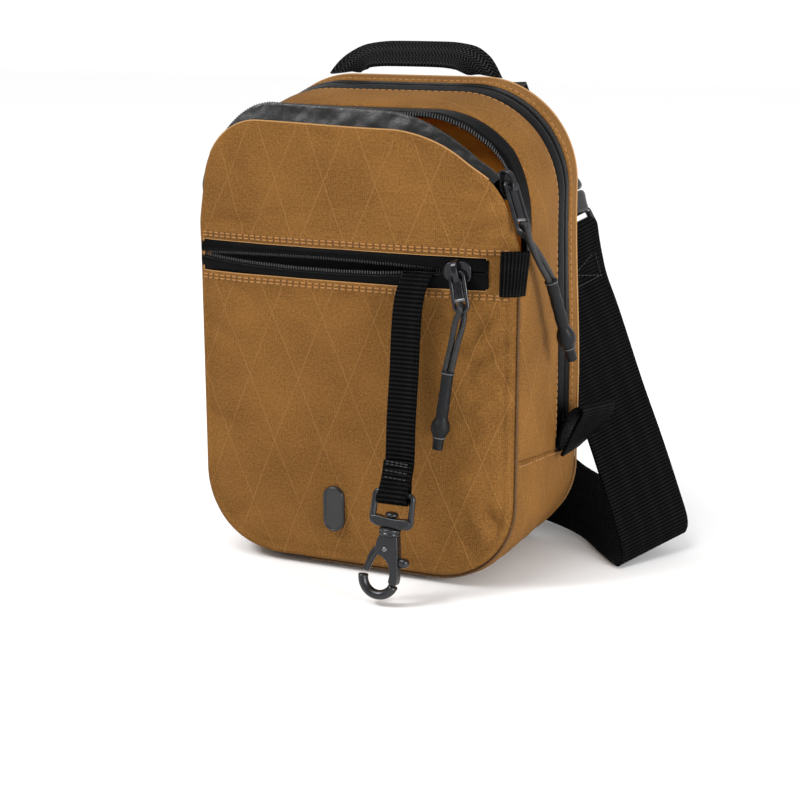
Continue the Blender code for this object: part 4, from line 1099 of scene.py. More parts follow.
def plate_sheet(name, y, half, low, high, foot, right, left, look, relief, columns=70, levels=80, **facts):
    """A panel that fills a rounded outline at depth y. relief(x, z, inside) moves it back."""
    rows, lays = [], []
    for column in range(columns + 1):
        x = -half * math.cos(math.pi * column / columns)
        radius = right if x > 0 else left
        low_at = low + foot - corner_rise(x, half, foot)
        high_at = high - radius + corner_rise(x, half, radius)
        zs = eased_steps(low_at, high_at, levels)
        inside = [border_distance(x, z, half, low, high, foot, right, left) for z in zs]
        rows.append([(x - lean(x, y, z), y + relief(x, z, near), z) for z, near in zip(zs, inside)])
        lays.append([(x, z, 0.0) for z in zs])
    return sheet(name, rows, look, lays, **facts)


# The front seam's dark tube is a painted shadow line; the radius also serves the pale rear binding.
SHADOW_LINE_START = 9.2
SHADOW_LINE_STOP = GIRTH_END + 1.4
SEAM_TUBE_RADIUS = 0.5


def make_seam_lines():
    """Tubes in the seams: a dark one round the front's foot, a painted shadow line in the seam, and a pale
    one round the back.
    """
    # Painted shadow: a dark tube along the front seam stands for the shade in the seam.
    front = [on_girth(t, FRONT_Y - 0.45, 0.12) for t, length in stops(SHADOW_LINE_START, SHADOW_LINE_STOP, 2.0)]
    tube_mesh("front_seam_shadow_line", front, SEAM_TUBE_RADIUS, "seam_shadow", 8, **CLOTH)
    rear = [on_girth(t, REAR_Y - 0.1, -0.15) for t, length in stops(0, GIRTH_END, 2.5)]
    tube_mesh("rear_seam_binding", rear[:-1], SEAM_TUBE_RADIUS, "edge", 8, True, **CLOTH)


def back_relief(x, z, inside):
    """The back cloth rolls in at its border and sinks a little, unevenly, inside it."""
    return -rolled(inside, SEAM_ROLL) - 0.35 * ease(inside, 0, 6) * (1 + wave(x, 41.0, z, 24.0))


def make_back():
    half = REAR_HALF - PLATE_INSET
    low, high = REAR_FOOT_RISE + PLATE_INSET, REAR_TOP - PLATE_INSET
    panel = plate_sheet("back_cloth", REAR_Y + 1.35, half, low, high, FOOT_RADIUS, REAR_RADIUS, REAR_RADIUS,
                        "tan", back_relief, **CLOTH, replaces=["back_panel"])
    thicken(panel, 1.1)
    foam = plate_sheet("back_foam_sheet", REAR_Y - 0.9, half - 5, low + 5, high - 5, 29, 37, 37,
                       "foam", lambda x, z, d: -rolled(d, 0.9) - 0.15 * wave(x, 2.0, z, 9.0),
                       columns=40, levels=44, slot="foam", body="bag", replaces=["back_foam"])
    thicken(foam, 2.4)


PAD_COLUMNS = (-18.0, 18.0)
PAD_ROWS = (62.0, 104.0, 146.0)
PAD_HIGH = 3.0
CHANNEL_DEEP = 1.9
CHANNEL_WIDE = 2.4


def pad_height(x, z, inside):
    """Height of the back pad's outer face: padded cells between sewn channels."""
    crown = math.sqrt(max(0.0, 1 - (1 - ramp(inside, 0, 9)) ** 2))
    channels = max(math.exp(-((x - middle) / CHANNEL_WIDE) ** 2) for middle in PAD_COLUMNS)
    for level in PAD_ROWS:
        channels = max(channels, 0.8 * math.exp(-((z - level - 3 * math.cos(x / 18)) / CHANNEL_WIDE) ** 2))
    return crown * (PAD_HIGH - CHANNEL_DEEP * channels + 0.15 * wave(x, 7.0, z, 14.0))


def make_back_pad():
    half = REAR_HALF - 16.5
    pad = plate_sheet("back_pad_mesh", REAR_Y + SHELL + 0.4, half, REAR_FOOT_RISE + 16, REAR_TOP - 16, 20,
                      27, 27, "pad", pad_height, columns=90, levels=110, slot="back_mesh",
                      body="bag", replaces=["back_pad"])
    thicken(pad, 0.5)


def make_linings():
    def front_edges(t):
        t = t % GIRTH_END
        return (-15.5 if RIGHT_SHOULDER <= t <= LEFT_SHOULDER else FRONT_Y + 1.0), -5.3

    cloth_band("front_lining_cloth", 0.0, GIRTH_END, front_edges, "orange", wrinkle=0.8, pitch=2.5,
               steps=14, thickness=LINING_THICK, inset=2.4, scale=8.0, **LINING, replaces=["front_lining"])
    cloth_band("main_lining_cloth", 0.0, GIRTH_END, lambda t: (-3.2, 31.9), "orange", wrinkle=0.6,
               pitch=3.0, steps=14, thickness=LINING_THICK, inset=3.5, scale=9.0, **LINING,
               replaces=["main_lining"])

    def divider_relief(x, z, inside):
        billow = DIVIDER_SAG * ease(z, 140, 175) * ramp(inside, 0, 8)
        return 0.25 * wave(x, 11.0, z, 13.0) - billow

    half, top, right, left = section(DIVIDER_Y)
    divider = plate_sheet("divider_cloth", DIVIDER_Y, half - 2.8, 3.0, top - 2.8, FOOT_RADIUS - 2,
                          right - 2, left - 2, "orange", divider_relief, columns=60, levels=70, **LINING,
                          replaces=["divider_panel"])
    thicken(divider, 0.7, offset=0.0)
    make_pouch()


def make_pouch():
    """The key pocket's pouch: a flat tube, its front wall up to the zip and its rear wall past it. Its dark
    colour is painted shade, so the pocket zip's gap reads as shade.
    """
    rows, lays = [], []
    middle_x, middle_y, half, deep = POUCH
    low, front_top, rear_top = POUCH_LEVELS
    for step in range(97):
        angle = math.tau * step / 96
        x, y = half * math.cos(angle) + middle_x, middle_y + deep * math.sin(angle)
        front = y < middle_y
        zs = even_steps(low, front_top if front else rear_top, 40)
        rows.append([(x, y + 0.35 * wave(x, 3.0 + (9 if front else 0), z, 15.0), z) for z in zs])
        lays.append([(x, z, 0.0) for z in zs])
    # Dark cloth here is painted shade inside the pocket.
    pouch = sheet("pocket_pouch", rows, "shade_dark_lining", lays, **LINING, replaces=["pocket_bag"])
    thicken(pouch, LINING_THICK, offset=0.0)


# Zips

TOOTH_PITCH = 1.15
RIM_FREE_EDGE = 7


def swept_band(name, start, stop, profile, look, pitch=2.0, **facts):
    """An open profile of (depth, outward) pairs, given by profile(t, length), swept round the outline."""
    rows, lays = [], []
    for t, length in stops(start, stop, pitch):
        pairs = profile(t, length)
        rows.append([on_girth(t, y, out) for y, out in pairs])
        lays.append([(y, length, 0.0) for y, out in pairs])
    return sheet(name, rows, look, lays, **facts)


def make_main_zip():
    """The closed zip round the top: two film-covered tapes whose rounded lips meet."""
    lip = [(0.0, -1.3), (0.12, -0.45), (0.45, 0.0), (1.0, 0.18), (2.0, 0.2), (3.6, 0.05), (5.2, -0.12),
           (6.4, -0.3), (7.4, -0.6)]

    def profile(side):
        def at(t, length):
            wobble = 0.12 * wave(length, 0.0, 51.0, 16.0)
            return [(ZIP_MID + wobble + side * (0.08 + away),
                     out - 0.05 + 0.1 * wave(length, away, 8.0, 9.0)) for away, out in lip]
        return at

    for name, side in (("front", -1), ("rear", 1)):
        tape = swept_band("main_tape_" + name, 0.0, ZIP_STOP, profile(side), "tape", 1.6, **TAPE,
                          replaces=["main_zip_tape_" + name, "main_zip_coil_" + name])
        thicken(tape, 0.45, offset=0.0)
    stop_frame = frame_at(on_girth(ZIP_STOP - 0.02, ZIP_MID, 0.2), (0, 0, 1), (-1, 0, 0))
    rounded_block("zip_end_stop", (-1.4, -3.6, -0.5), (1.4, 3.6, 0.7), 0.4, "slider", stop_frame,
                  body="bag", slot="gunmetal")


def rounded_block(name, low, high, width, look, seat=Matrix.Identity(4), segments=3, **facts):
    """A box from its two corners with rounded edges."""
    mesh_bm = bmesh.new()
    size = Vector(high) - Vector(low)
    middle = (Vector(high) + Vector(low)) / 2
    spread = Matrix.Translation(middle) @ Matrix.Diagonal((*size, 1.0))
    bmesh.ops.create_cube(mesh_bm, size=1.0, matrix=spread)
    bmesh.ops.bevel(mesh_bm, geom=mesh_bm.edges[:], offset=width, segments=segments, affect="EDGES",
                    profile=0.6)
    bmesh.ops.transform(mesh_bm, verts=mesh_bm.verts, matrix=seat)
    return finish_mesh(name, mesh_bm, look, smooth=40.0, **facts)


BEAD_PROFILE = [(-1.0, 0.45), (-0.72, 0.86), (-0.3, 1.0), (0.3, 1.0), (0.72, 0.86), (1.0, 0.45)]


def beads(name, places, size, look, **facts):
    """Many small studs, stitches or teeth in one mesh. Each place is a frame; size is its half lengths."""
    long, wide, high = size
    bodies = [[[place @ Vector((along * long, cosine * wide * share, sine * high * share))
                for cosine, sine in around(6)] for along, share in BEAD_PROFILE] for place in places]
    return skins(name, bodies, look, **facts)


def rim_profile(t, length):
    """The open rim's tape: it leaves the gusset, runs forward and rolls over at its free edge."""
    edge = rim_edge(t)
    wide = mix(2.2, 7.4, ease(t, 1.0, 2.4) if t < 3.5 else ease(6.0 - t, 0.0, 1.2))
    ripple = 0.35 * wave(length, 3.0, 7.0, 9.0)
    return [(edge + 1.6, -0.75), (edge + 0.2, -0.5), (edge - 0.8, -0.35),
            (edge - wide * 0.3, -0.2 + ripple * 0.4), (edge - wide * 0.6, 0.0 + ripple),
            (edge - wide * 0.82, 0.3 + ripple), (edge - wide * 0.95, 0.15 + ripple),
            (edge - wide, -0.5 + ripple), (edge - wide * 0.98, -1.3 + ripple),
            (edge - wide * 0.85, -1.9 + ripple), (edge - wide * 0.6, -2.1 + ripple)]


def make_front_zip():
    """The open zip of the front compartment, one half on the gusset's rim and one on the flap."""
    rim = swept_band("rim_tape", RIGHT_SHOULDER, LEFT_SHOULDER, rim_profile, "tape", 1.2, **TAPE,
                     replaces=["rim_zip_tape"])
    subdivide(thicken(rim, 0.5, offset=0.0))
    teeth = []
    for t, length in stops(2.3, LEFT_SHOULDER - 0.1, TOOTH_PITCH, y=-24.0):
        y, out = rim_profile(t, length)[RIM_FREE_EDGE]
        here = on_girth(t, y - 0.15, out - 0.1)
        ahead = on_girth(t + 0.01, y, out)
        teeth.append(frame_at(here, (0, -0.55, -0.83), ahead - on_girth(t, y, out)))
    beads("rim_teeth", teeth, (1.15, 0.5, 0.34), "coil", **COIL, replaces=["rim_zip_coil"])
    make_flap_tape()


def flap_tape_point(x, reach):
    """A point on the flap's standing tape, reach millimetres above the flap's edge."""
    edge = outline_high(x)
    slope = outline_high(x + 0.5) - outline_high(x - 0.5)
    out = Vector((-slope, 0, 1)).normalized()
    standing = Vector((out.x, 0.3, out.z)).normalized()
    taper = (1 - 0.5 * ease(x, 6.0, 50.0)) * (0.2 + 0.8 * ease(x, -64.5, -38.0))
    root = Vector((leaned(x, edge), panel_surface(x, edge) + 0.7, edge)) - out * 1.5
    crinkle = 0.5 * wave(x, reach * 0.7, 3.0, 8.0) + 0.35 * wave(x * 1.4, reach, 13.0, 3.6)
    return root + standing * reach * taper + Vector((0, 1, 0)) * crinkle * ramp(reach, 0.5, 4.0)


def make_flap_tape():
    reaches = [-1.5, 0.0, 1.2, 2.4, 3.6, 4.8, 6.0, 7.2, 8.0, 8.5, 8.75]
    xs = eased_steps(-64.0, 58.5, 150)
    rows = [[flap_tape_point(x, reach) + Vector((0, 0.5 if reach == reaches[-1] else 0, 0))
             for reach in reaches] for x in xs]
    lays = [[(x, reach, 0.0) for reach in reaches] for x in xs]
    tape = sheet("flap_tape", rows, "film", lays, slot="coated_tape", body="flap",
                 replaces=["flap_zip_tape"])
    subdivide(thicken(tape, 0.55, offset=0.0))
    teeth = []
    line = even_path([flap_tape_point(x, 8.8) for x in xs], TOOTH_PITCH)
    for before, here in zip(line, line[1:]):
        teeth.append(frame_at(here + Vector((0, 0.75, -0.3)), (0, 0.8, -0.6), here - before))
    beads("flap_teeth", teeth, (0.95, 0.5, 0.34), "coil", slot="zip_coil", body="flap",
          replaces=["flap_zip_coil"])


def pocket_gape(x):
    """How far the pocket zip gapes at x, from 0 at its ends to 1 in the middle."""
    share = ramp(x, WINDOW[0] - 2.0, 41.0)
    return math.sqrt(math.sin(math.pi * share)) if 0 < share < 1 else 0.0


def pocket_lip(x, side):
    """Height of a pocket tape's lip: side is 1 for the upper and -1 for the lower one."""
    wide = ZIP_HALF_GAP + (GAPE_UP if side > 0 else GAPE_DOWN)
    return POCKET_ZIP_Z + side * (0.1 + wide * pocket_gape(x)) + 0.12 * wave(x, side, 2.0, 9.0)


def make_pocket_zip():
    left, right, low, high = WINDOW
    shares = [(0.0, -0.5), (0.14, -0.75), (0.3, -1.05), (0.5, -1.45), (0.68, -1.75), (0.82, -1.9),
              (0.92, -1.8), (0.98, -1.5), (1.0, -1.0), (0.985, -0.3), (0.93, 0.3)]
    for name, side, outer in (("upper", 1, high + 1.2), ("lower", -1, low - 1.2)):
        rows, lays = [], []
        for x in even_steps(left - 1.0, right + 1.0, 160):
            lip = pocket_lip(x, side)
            line = []
            for share, lift in shares:
                z = mix(outer, lip, share)
                line.append((x, panel_surface(x, z) + lift + 0.12 * wave(x, z, 6.0, 7.0), z))
            rows.append(line)
            lays.append([(x, z, 0.0) for x, y, z in line])
        tape = sheet("pocket_tape_" + name, rows, "tape", lays, **TAPE,
                     replaces=["pocket_zip_tape_" + name])
        subdivide(thicken(tape, 0.4, offset=0.0))
        teeth = []
        for x in even_steps(left + 1.0, 40.5, 95):
            z = pocket_lip(x, side) - side * (0.25 + 0.45 * ramp(pocket_gape(x), 0.0, 0.6))
            teeth.append(frame_at((x, panel_surface(x, z) - 0.55, z), (0, 0.35, -side), (1, 0, 0)))
        beads("pocket_teeth_" + name, teeth, (0.85, 0.42, 0.34), "coil", **COIL,
              replaces=["pocket_zip_coil_" + name])


# Sliders and pull rings

SLIDERS = {
    "pocket": ((46.0, -39.0, POCKET_ZIP_Z), (1, 0.085, 0), (0.085, -1, 0), (0.25, 0, -1)),
    "main": ((-71.2, ZIP_MID, 106.0), (0, 0, 1), (-1, 0, 0), (0, 0, -1)),
    "front": ((60.6, -29.4, 161.8), (0.36, -0.16, -0.92), (0.80, -0.50, 0.30), (0.45, -0.15, -0.88)),
}


def outline_plate(name, outline, low, high, look, seat, width=0.3, segments=2, **facts):
    """A flat outline in local X and Y, extruded from low to high, with rounded edges."""
    mesh_bm = bmesh.new()
    verts = [mesh_bm.verts.new((x, y, low)) for x, y in outline]
    face = mesh_bm.faces.new(verts)
    grown = bmesh.ops.extrude_face_region(mesh_bm, geom=[face])
    moved = [item for item in grown["geom"] if isinstance(item, bmesh.types.BMVert)]
    bmesh.ops.translate(mesh_bm, verts=moved, vec=(0, 0, high - low))
    bmesh.ops.recalc_face_normals(mesh_bm, faces=mesh_bm.faces)
    bmesh.ops.transform(mesh_bm, verts=mesh_bm.verts, matrix=seat)
    return round_edges(finish_mesh(name, mesh_bm, look, smooth=40.0, **facts), width, segments)


def slider_outline(scale=1.0):
    """A slider plate seen from above: broad shoulders at its nose, narrower at its tail."""
    points = []
    for step in range(40):
        angle = math.tau * step / 40
        along = math.copysign(abs(math.cos(angle)) ** 0.62, math.cos(angle)) * 5.5
        across = math.copysign(abs(math.sin(angle)) ** 0.62, math.sin(angle)) * 4.2
        waist = 1 - 0.12 * ramp(-along, -1.0, 5.5) - 0.06 * math.exp(-((along + 1.0) / 1.8) ** 2)
        points.append((along * scale, across * waist * scale))
    return points


def make_slider(name, origin, along, outward_way, pull_way):
    seat = frame_at(origin, along, outward_way)
    look = "slider"
    facts = {"body": name + "_slider", "slot": "gunmetal"}
    outline_plate(name + "_slider_top", slider_outline(), 1.3, 2.45, look, seat, 0.42, 3,
                  replaces=[name + "_zip_slider"], **facts)
    outline_plate(name + "_slider_under", slider_outline(0.98), -2.4, -1.3, look, seat, 0.35, 2, **facts)
    rounded_block(name + "_slider_neck", (-1.6, -0.7, -1.6), (5.0, 0.7, 1.6), 0.25, look, seat, **facts)
    crown = frame_at(origin, pull_way, outward_way)
    arch = [(-4.35, 1.9), (-4.3, 3.2), (-3.9, 4.4), (-2.9, 5.35), (-1.4, 5.75), (0.0, 5.85), (1.4, 5.75),
            (2.9, 5.35), (3.9, 4.4), (4.3, 3.2), (4.35, 1.9)]
    path = [crown @ Vector((u, 0, n)) for u, n in arch]
    side = crown.to_3x3() @ Vector((0, 1, 0))
    rows = []
    for index, point in enumerate(path):
        wide = mix(1.75, 1.15, math.sin(math.pi * index / (len(path) - 1)))
        rows.append([point + side * v for v in (-wide, -wide * 0.5, 0, wide * 0.5, wide)])
    bridge = sheet(name + "_slider_crown", rows, look, **facts)
    subdivide(thicken(bridge, 1.05, offset=0.0), 2)


def ring_path(hinge, far, across, corner=1.9):
    """The long pull ring: a rounded loop from the hinge to its far bar."""
    way = (far - hinge).normalized()
    side = RING_WIDE / 2 - corner
    end = (far - hinge).length - corner
    flat = quarter_arcs([(corner, side), (corner, -side), (end, -side), (end, side)], corner, 6)
    return [hinge + way * u + across * v for u, v in flat]


def make_pulls():
    for name, (origin, along, outward_way, pull_way) in SLIDERS.items():
        make_slider(name, origin, along, outward_way, pull_way)
        hinge, far, mouth, tail, out = PULLS[name]
        far = Vector(far)
        way = (far - hinge).normalized()
        across = way.cross(Vector(out)).normalized()
        facts = {"body": name + "_pull", "slot": "gunmetal"}
        tube_mesh(name + "_ring", ring_path(hinge, far, across), RING_WIRE, "metal", 12, True,
                  replaces=[name + "_pull_ring"], **facts)
        bar = [far - way * 4.2 + across * v for v in (-2.3, -1.6, 0, 1.6, 2.3)]
        tube_mesh(name + "_ring_bar", bar, [0.55, 0.8, 0.85, 0.8, 0.55], "bar", 12, **facts)
        reach = (far - hinge).length
        rounded_block(name + "_ring_tab", (2.6, -1.75, -0.7), (reach - 4.4, 1.75, 0.7), 0.45, "slider",
                      frame_at(hinge, way, out), **facts)


# Webbing

SELVEDGE = 0.35


def web(name, stations, thickness, look, steps, columns, **facts):
    """Webbing through stations of (centre, half width vector), with rounded selvedges."""
    packed = [(*centre, *half) for centre, half in stations]
    rows, lays = [], []
    length = 0.0
    last = None
    shares = [2 * column / columns - 1 for column in range(columns + 1)]
    for station in spline(packed, steps):
        centre, half = Vector(station[:3]), Vector(station[3:])
        length += (centre - last).length if last is not None else 0.0
        last = centre
        rows.append([centre + half * share for share in shares])
        lays.append([(share * half.length, length, 0.0) for share in shares])
    strip = thicken(sheet(name, rows, look, lays, **facts), thickness, offset=0.0)
    return round_edges(strip, SELVEDGE, 2, 50.0)


def surface_stitches(name, points, normals, look, long=1.15, wide=0.36, gap=2.9, holes=False, **facts):
    """A row of stitches along a polyline, each lying on the surface whose normals are given."""
    places = []
    between = []
    walked = 0.0
    goal = 1.0
    for index in range(len(points) - 1):
        start, stop = Vector(points[index]), Vector(points[index + 1])
        run = stop - start
        length = run.length
        while length > 0 and goal <= walked + length:
            share = (goal - walked) / length
            normal = Vector(normals[index]).lerp(Vector(normals[index + 1]), share)
            places.append(frame_at(start + run * share, run, normal))
            between.append(frame_at(start + run * share + run.normalized() * gap / 2, run, normal))
            goal += gap
        walked += length
    # Dark beads between the stitches: painted shade in the needle holes.
    if holes:
        beads(name + "_holes", between, (0.42, 0.36, 0.14), "hole", **facts)
    return beads(name, places, (long, wide, wide * 0.8), look, **facts)


def box_stitch(name, centre, along, across, out, long, wide, look, **facts):
    """A sewn box with a cross inside it, on a flat spot of webbing."""
    centre, along, across, out = Vector(centre), Vector(along), Vector(across), Vector(out)
    corner = [centre + along * (u * long) + across * (v * wide) for u, v in
              ((-1, -1), (1, -1), (1, 1), (-1, 1), (-1, -1))]
    corner += [corner[2], corner[1], corner[3]]
    fine = []
    for start, stop in zip(corner, corner[1:]):
        fine += [start.lerp(stop, step / 6) for step in range(6)]
    fine.append(corner[-1])
    return surface_stitches(name, fine, [out] * len(fine), look, 0.8, 0.24, 2.0, **facts)


HANDLE_HALF = 7.5
HANDLE_MIDDLE = -4.0


def make_handle():
    right = [((28.2, 37.9, 198.4), (0.97, 0.05, -0.10)), ((25.6, 38.3, 200.7), (0.90, 0.24, 0.18)),
             ((22.6, 38.9, 203.0), (0.76, 0.48, 0.38)), ((18.8, 39.6, 205.2), (0.42, 0.72, 0.54)),
             ((13.5, 40.2, 206.2), (0.06, 0.80, 0.60)), ((6.0, 40.5, 206.6), (0.0, 0.80, 0.60))]
    left = [((2 * HANDLE_MIDDLE - x, y, z), (-u, v, w)) for (x, y, z), (u, v, w) in reversed(right)]
    stations = [(centre, Vector(way) * HANDLE_HALF) for centre, way in right + left]
    web("handle_webbing", stations, 1.6, "handle", 10, 10, body="handle", slot="black_webbing",
        replaces=["grab_handle"])


def make_side_loops():
    pocket_loop = [(72.4, -34.9), (71.0, -37.6), (68.8, -39.6), (66.2, -40.8), (64.9, -41.2), (64.7, -42.2),
                   (65.8, -43.0), (68.4, -42.4), (71.2, -40.4), (73.6, -37.2)]
    stations = [((x - 0.5, y, 129.8), (0.9 * ramp(x, 62, 74), 0, 8.6)) for x, y in pocket_loop]
    web("side_loop_webbing", stations, 1.0, "loop", 6, 10, **WEBBING, replaces=["side_loop"])
    corner = [(73.3, 47.6), (73.6, 53.6), (76.4, 60.0), (81.4, 65.0), (85.4, 66.8), (86.8, 64.8),
              (84.0, 58.6), (80.0, 52.6), (76.8, 48.2), (75.2, 45.8)]
    stations = [((x, 17.5, z), (4.2 * ramp(x, 73, 84), 9.3, 0)) for x, z in corner]
    web("corner_loop_webbing", stations, 1.4, "loop", 8, 12, **WEBBING, replaces=["corner_loop"])


BADGE_AT = (-6.9, 27.5)
BADGE_REACH = 5.0


def make_badge():
    """A plain pill-shaped rubber badge with a raised rim, standing upright."""
    x, z = BADGE_AT
    slope = (panel_surface(x, z + 1) - panel_surface(x, z - 1)) / 2
    out = Vector((0, -1, slope)).normalized()
    origin = Vector((x, front_depth(x, z) - 0.1, z))
    seat = frame_at(origin, (0, 0, 1), out)

    def pill(radius):
        points = []
        for end in (1, -1):
            for step in range(17):
                angle = math.pi * step / 16 + (0 if end > 0 else math.pi)
                points.append((end * BADGE_REACH + radius * math.sin(angle), -radius * math.cos(angle)))
        return points

    facts = {"body": "bag", "slot": "badge_rubber"}
    outline_plate("badge_base", pill(4.6), -0.5, 1.3, "badge", seat, 0.4, 3, replaces=["badge"], **facts)
    rim = [seat @ Vector((u, v, 1.25)) for u, v in pill(3.9)]
    tube_mesh("badge_rim", rim, 0.4, "badge", 10, True, **facts)


# Key leash

SWIVEL_TOP = Vector((28.6, -61.6, 43.4))
SWIVEL_WAY = Vector((-0.06, -0.17, -0.98)).normalized()
LEASH_PIVOT = Vector((30.6, -41.2, 128.0))
HOOK_PIN = (21.0, -0.5)
HOOK_EYE = (33.0, -2.2)
HOOK_EYE_RADIUS = 6.7
HOOK_WIRE = 1.95
LEASH_WIDE = 12.0


def swivel_frame():
    """Local X runs down the hook, local Y to its side and local Z towards the front."""
    return frame_at(SWIVEL_TOP, SWIVEL_WAY, (0, -1, 0))


def make_leash():
    half = Vector((LEASH_WIDE / 2, 0, 0))
    seat = swivel_frame()
    turn = [(-14.0, -1.2), (-7.0, -1.0), (-3.4, -1.8), (-0.6, -2.4), (2.0, -1.9), (2.9, 0.0), (2.0, 1.9),
            (-0.6, 2.4), (-3.4, 1.8), (-7.0, 0.7), (-14.0, 0.4)]
    end_fold = [seat @ Vector((u, 0, n)) for u, n in turn]
    hang = [LEASH_PIVOT, Vector((30.0, -44.0, 126.0)), Vector((28.4, -46.2, 119.0)),
            Vector((27.9, -48.2, 108.0)), Vector((28.2, -51.0, 90.0)), Vector((28.5, -54.6, 72.0))]
    stations = [(centre, half) for centre in hang + end_fold]
    web("leash_strip", stations, 1.2, "leash", 8, 8, body="leash", slot="black_webbing",
        replaces=["leash_webbing"])
    inner = [Vector((31.0, -40.2, 128.9)), Vector((31.0, -36.4, 128.9)), Vector((31.0, -31.8, 125.6)),
             Vector((31.0, -29.6, 112.0)), Vector((31.0, -28.7, 92.0))]
    web("leash_anchor_strip", [(centre, half) for centre in inner], 1.2, "leash", 6, 8, **WEBBING,
        replaces=["leash_anchor"])
    out = frame_out(seat)
    for number, along in enumerate((-13.2, -12.2, -9.6, -7.0)):
        line = [seat @ Vector((along, v, 1.25)) for v in (-5.0, -2.5, 0, 2.5, 5.0)]
        surface_stitches("leash_stitches_%d" % number, line, [out] * 5, "black_thread", 0.8, 0.3,
                         1.9, body="leash", slot="black_webbing")
    make_swivel(seat)
    make_hook(seat)


def make_swivel(seat):
    """The swivel's frame: a round top bar, two side bars and a thick block that holds the stud."""
    facts = {"body": "leash", "slot": "gunmetal"}
    flat = quarter_arcs([(0.6, 6.2), (0.6, -6.2), (9.6, -6.4), (9.6, 6.4)], 1.6, 5)
    loop_points = frame_points(seat, [(u, v, 0) for u, v in flat])
    tube_mesh("swivel_loop", loop_points, 1.15, "metal", 14, True, flat=1.15, replaces=["leash_swivel"],
              **facts)
    block = [(8.6, -8.2), (9.4, -8.5), (10.4, -8.3), (12.0, -6.2), (12.4, -4.8), (12.4, 4.8), (12.0, 6.2),
             (10.4, 8.3), (9.4, 8.5), (8.6, 8.2), (8.2, 6.0), (8.6, 3.0), (8.6, -3.0), (8.2, -6.0)]
    outline_plate("swivel_block", block, -2.2, 2.2, "metal", seat, 0.55, 3, **facts)


HOOK_OUTLINE = [(15.2, -3.4), (15.0, 0.0), (15.2, 3.4), (18.0, 4.3), (21.0, 4.8), (24.0, 5.2), (28.0, 5.7),
                (32.0, 6.0), (34.6, 5.4), (34.0, 2.6), (30.6, 2.6), (27.6, 1.9), (25.4, 0.4), (24.0, -1.6),
                (23.2, -3.8), (20.6, -4.6), (18.0, -4.3)]
GATE_OUTLINE = [(3.2, 8.4), (4.6, 9.0), (5.6, 8.2), (5.2, 6.4), (3.0, 1.6), (2.6, -1.4), (3.6, -4.6),
                (6.6, -6.2), (9.6, -6.9), (9.4, -8.2), (6.0, -7.6), (2.4, -6.6), (-0.6, -4.4), (-2.2, -0.6),
                (-1.6, 1.9), (1.4, 4.4)]


def make_hook(seat):
    """The snap hook: a stud and collar, a C-shaped body and a gate with a thumb lever."""
    facts = {"body": "hook", "slot": "gunmetal"}
    spin = seat @ Matrix.Rotation(math.pi / 2, 4, "Y")
    stud = [(0, 6.2), (1.2, 6.25), (2.1, 6.5), (2.6, 7.0), (2.7, 7.5), (2.5, 8.0), (1.5, 8.15), (1.5, 12.6),
            (3.6, 12.65), (4.15, 12.85), (4.3, 13.3), (4.25, 13.8), (3.9, 14.0), (3.9, 14.3), (4.2, 14.5),
            (4.25, 15.0), (3.9, 15.5), (3.2, 15.8), (0, 15.8)]
    turned("hook_stud", stud, spin, "metal", 40, **facts)
    outline = spline(HOOK_OUTLINE + HOOK_OUTLINE[:1], 5)[:-1]
    outline_plate("hook_frame", outline, -2.2, 2.2, "metal", seat, 0.85, 4, replaces=["hook_body"], **facts)
    eye_u, eye_v = HOOK_EYE
    eye = [(eye_u + HOOK_EYE_RADIUS * math.cos(angle), eye_v + HOOK_EYE_RADIUS * math.sin(angle), 0)
           for angle in map(math.radians, even_steps(70, -93, 24))]
    tube_mesh("hook_eye_ring", frame_points(seat, eye), HOOK_WIRE, "metal", 16, flat=1.12, up=frame_out(seat),
              **facts)
    gate_facts = {"body": "gate", "slot": "gunmetal"}
    pin = seat @ Matrix.Translation((*HOOK_PIN, 0))
    gate = spline(GATE_OUTLINE + GATE_OUTLINE[:1], 4)[:-1]
    outline_plate("hook_lever", gate, -0.9, 0.9, "metal", pin, 0.35, 3, replaces=["hook_gate"], **gate_facts)
    bar = [(-0.5, -2.6, 0), (2.0, -4.4, 0), (5.0, -5.9, 0), (8.0, -7.0, 0), (9.4, -7.5, 0)]
    tube_mesh("gate_bar", frame_points(pin, spline(bar, 5)), 1.35, "metal", 14, **gate_facts)
    nub = pin @ Matrix.Translation((4.4, 0, 0)) @ Matrix.Rotation(math.pi / 2, 4, "Z")
    loft("gate_nub", [(4.8, 1.0, 0.9, 3), (6.0, 1.6, 1.6, 3), (7.6, 1.9, 2.1, 3), (9.0, 1.6, 1.9, 3),
                      (9.8, 0.8, 1.0, 3)], "metal", nub, 28, **gate_facts)
    for name in ("gate_pin", "gate_spring"):
        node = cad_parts[name]
        node.data.materials.clear()
        node.data.materials.append(LOOKS["metal"])
    dome = [(0, 2.1), (0.98, 2.1), (0.98, 2.45), (0.85, 2.62), (0.5, 2.75), (0, 2.8)]
    for name, turn in (("front", pin), ("rear", pin @ Matrix.Rotation(math.pi, 4, "X"))):
        turned("pin_head_" + name, dome, turn, "bar", 24, **facts)


# Shoulder strap

BUCKLE_LOW = Vector((55.9, 63.0, 125.6))
BUCKLE_WAY = Vector((0.49, 0.0, -0.87)).normalized()
BUCKLE_SIDE = Vector((0.473, 0.837, 0.266))
STITCHED_WAY = Vector((0.37, -0.27, -0.9)).normalized()
INSERT_BAR = -1.5
SOCKET_BAR = -45.0
STRAP_WIDE = 38.0
STRAP_THICK = 1.4
BAR_TURN = 3.5
LAID_Z = 19.9
HARDWARE_Z = 23.4


def buckle_frame():
    """Local X runs down the buckle, local Y across it and local Z out of its face."""
    return frame_at(BUCKLE_LOW, BUCKLE_WAY, BUCKLE_WAY.cross(BUCKLE_SIDE))


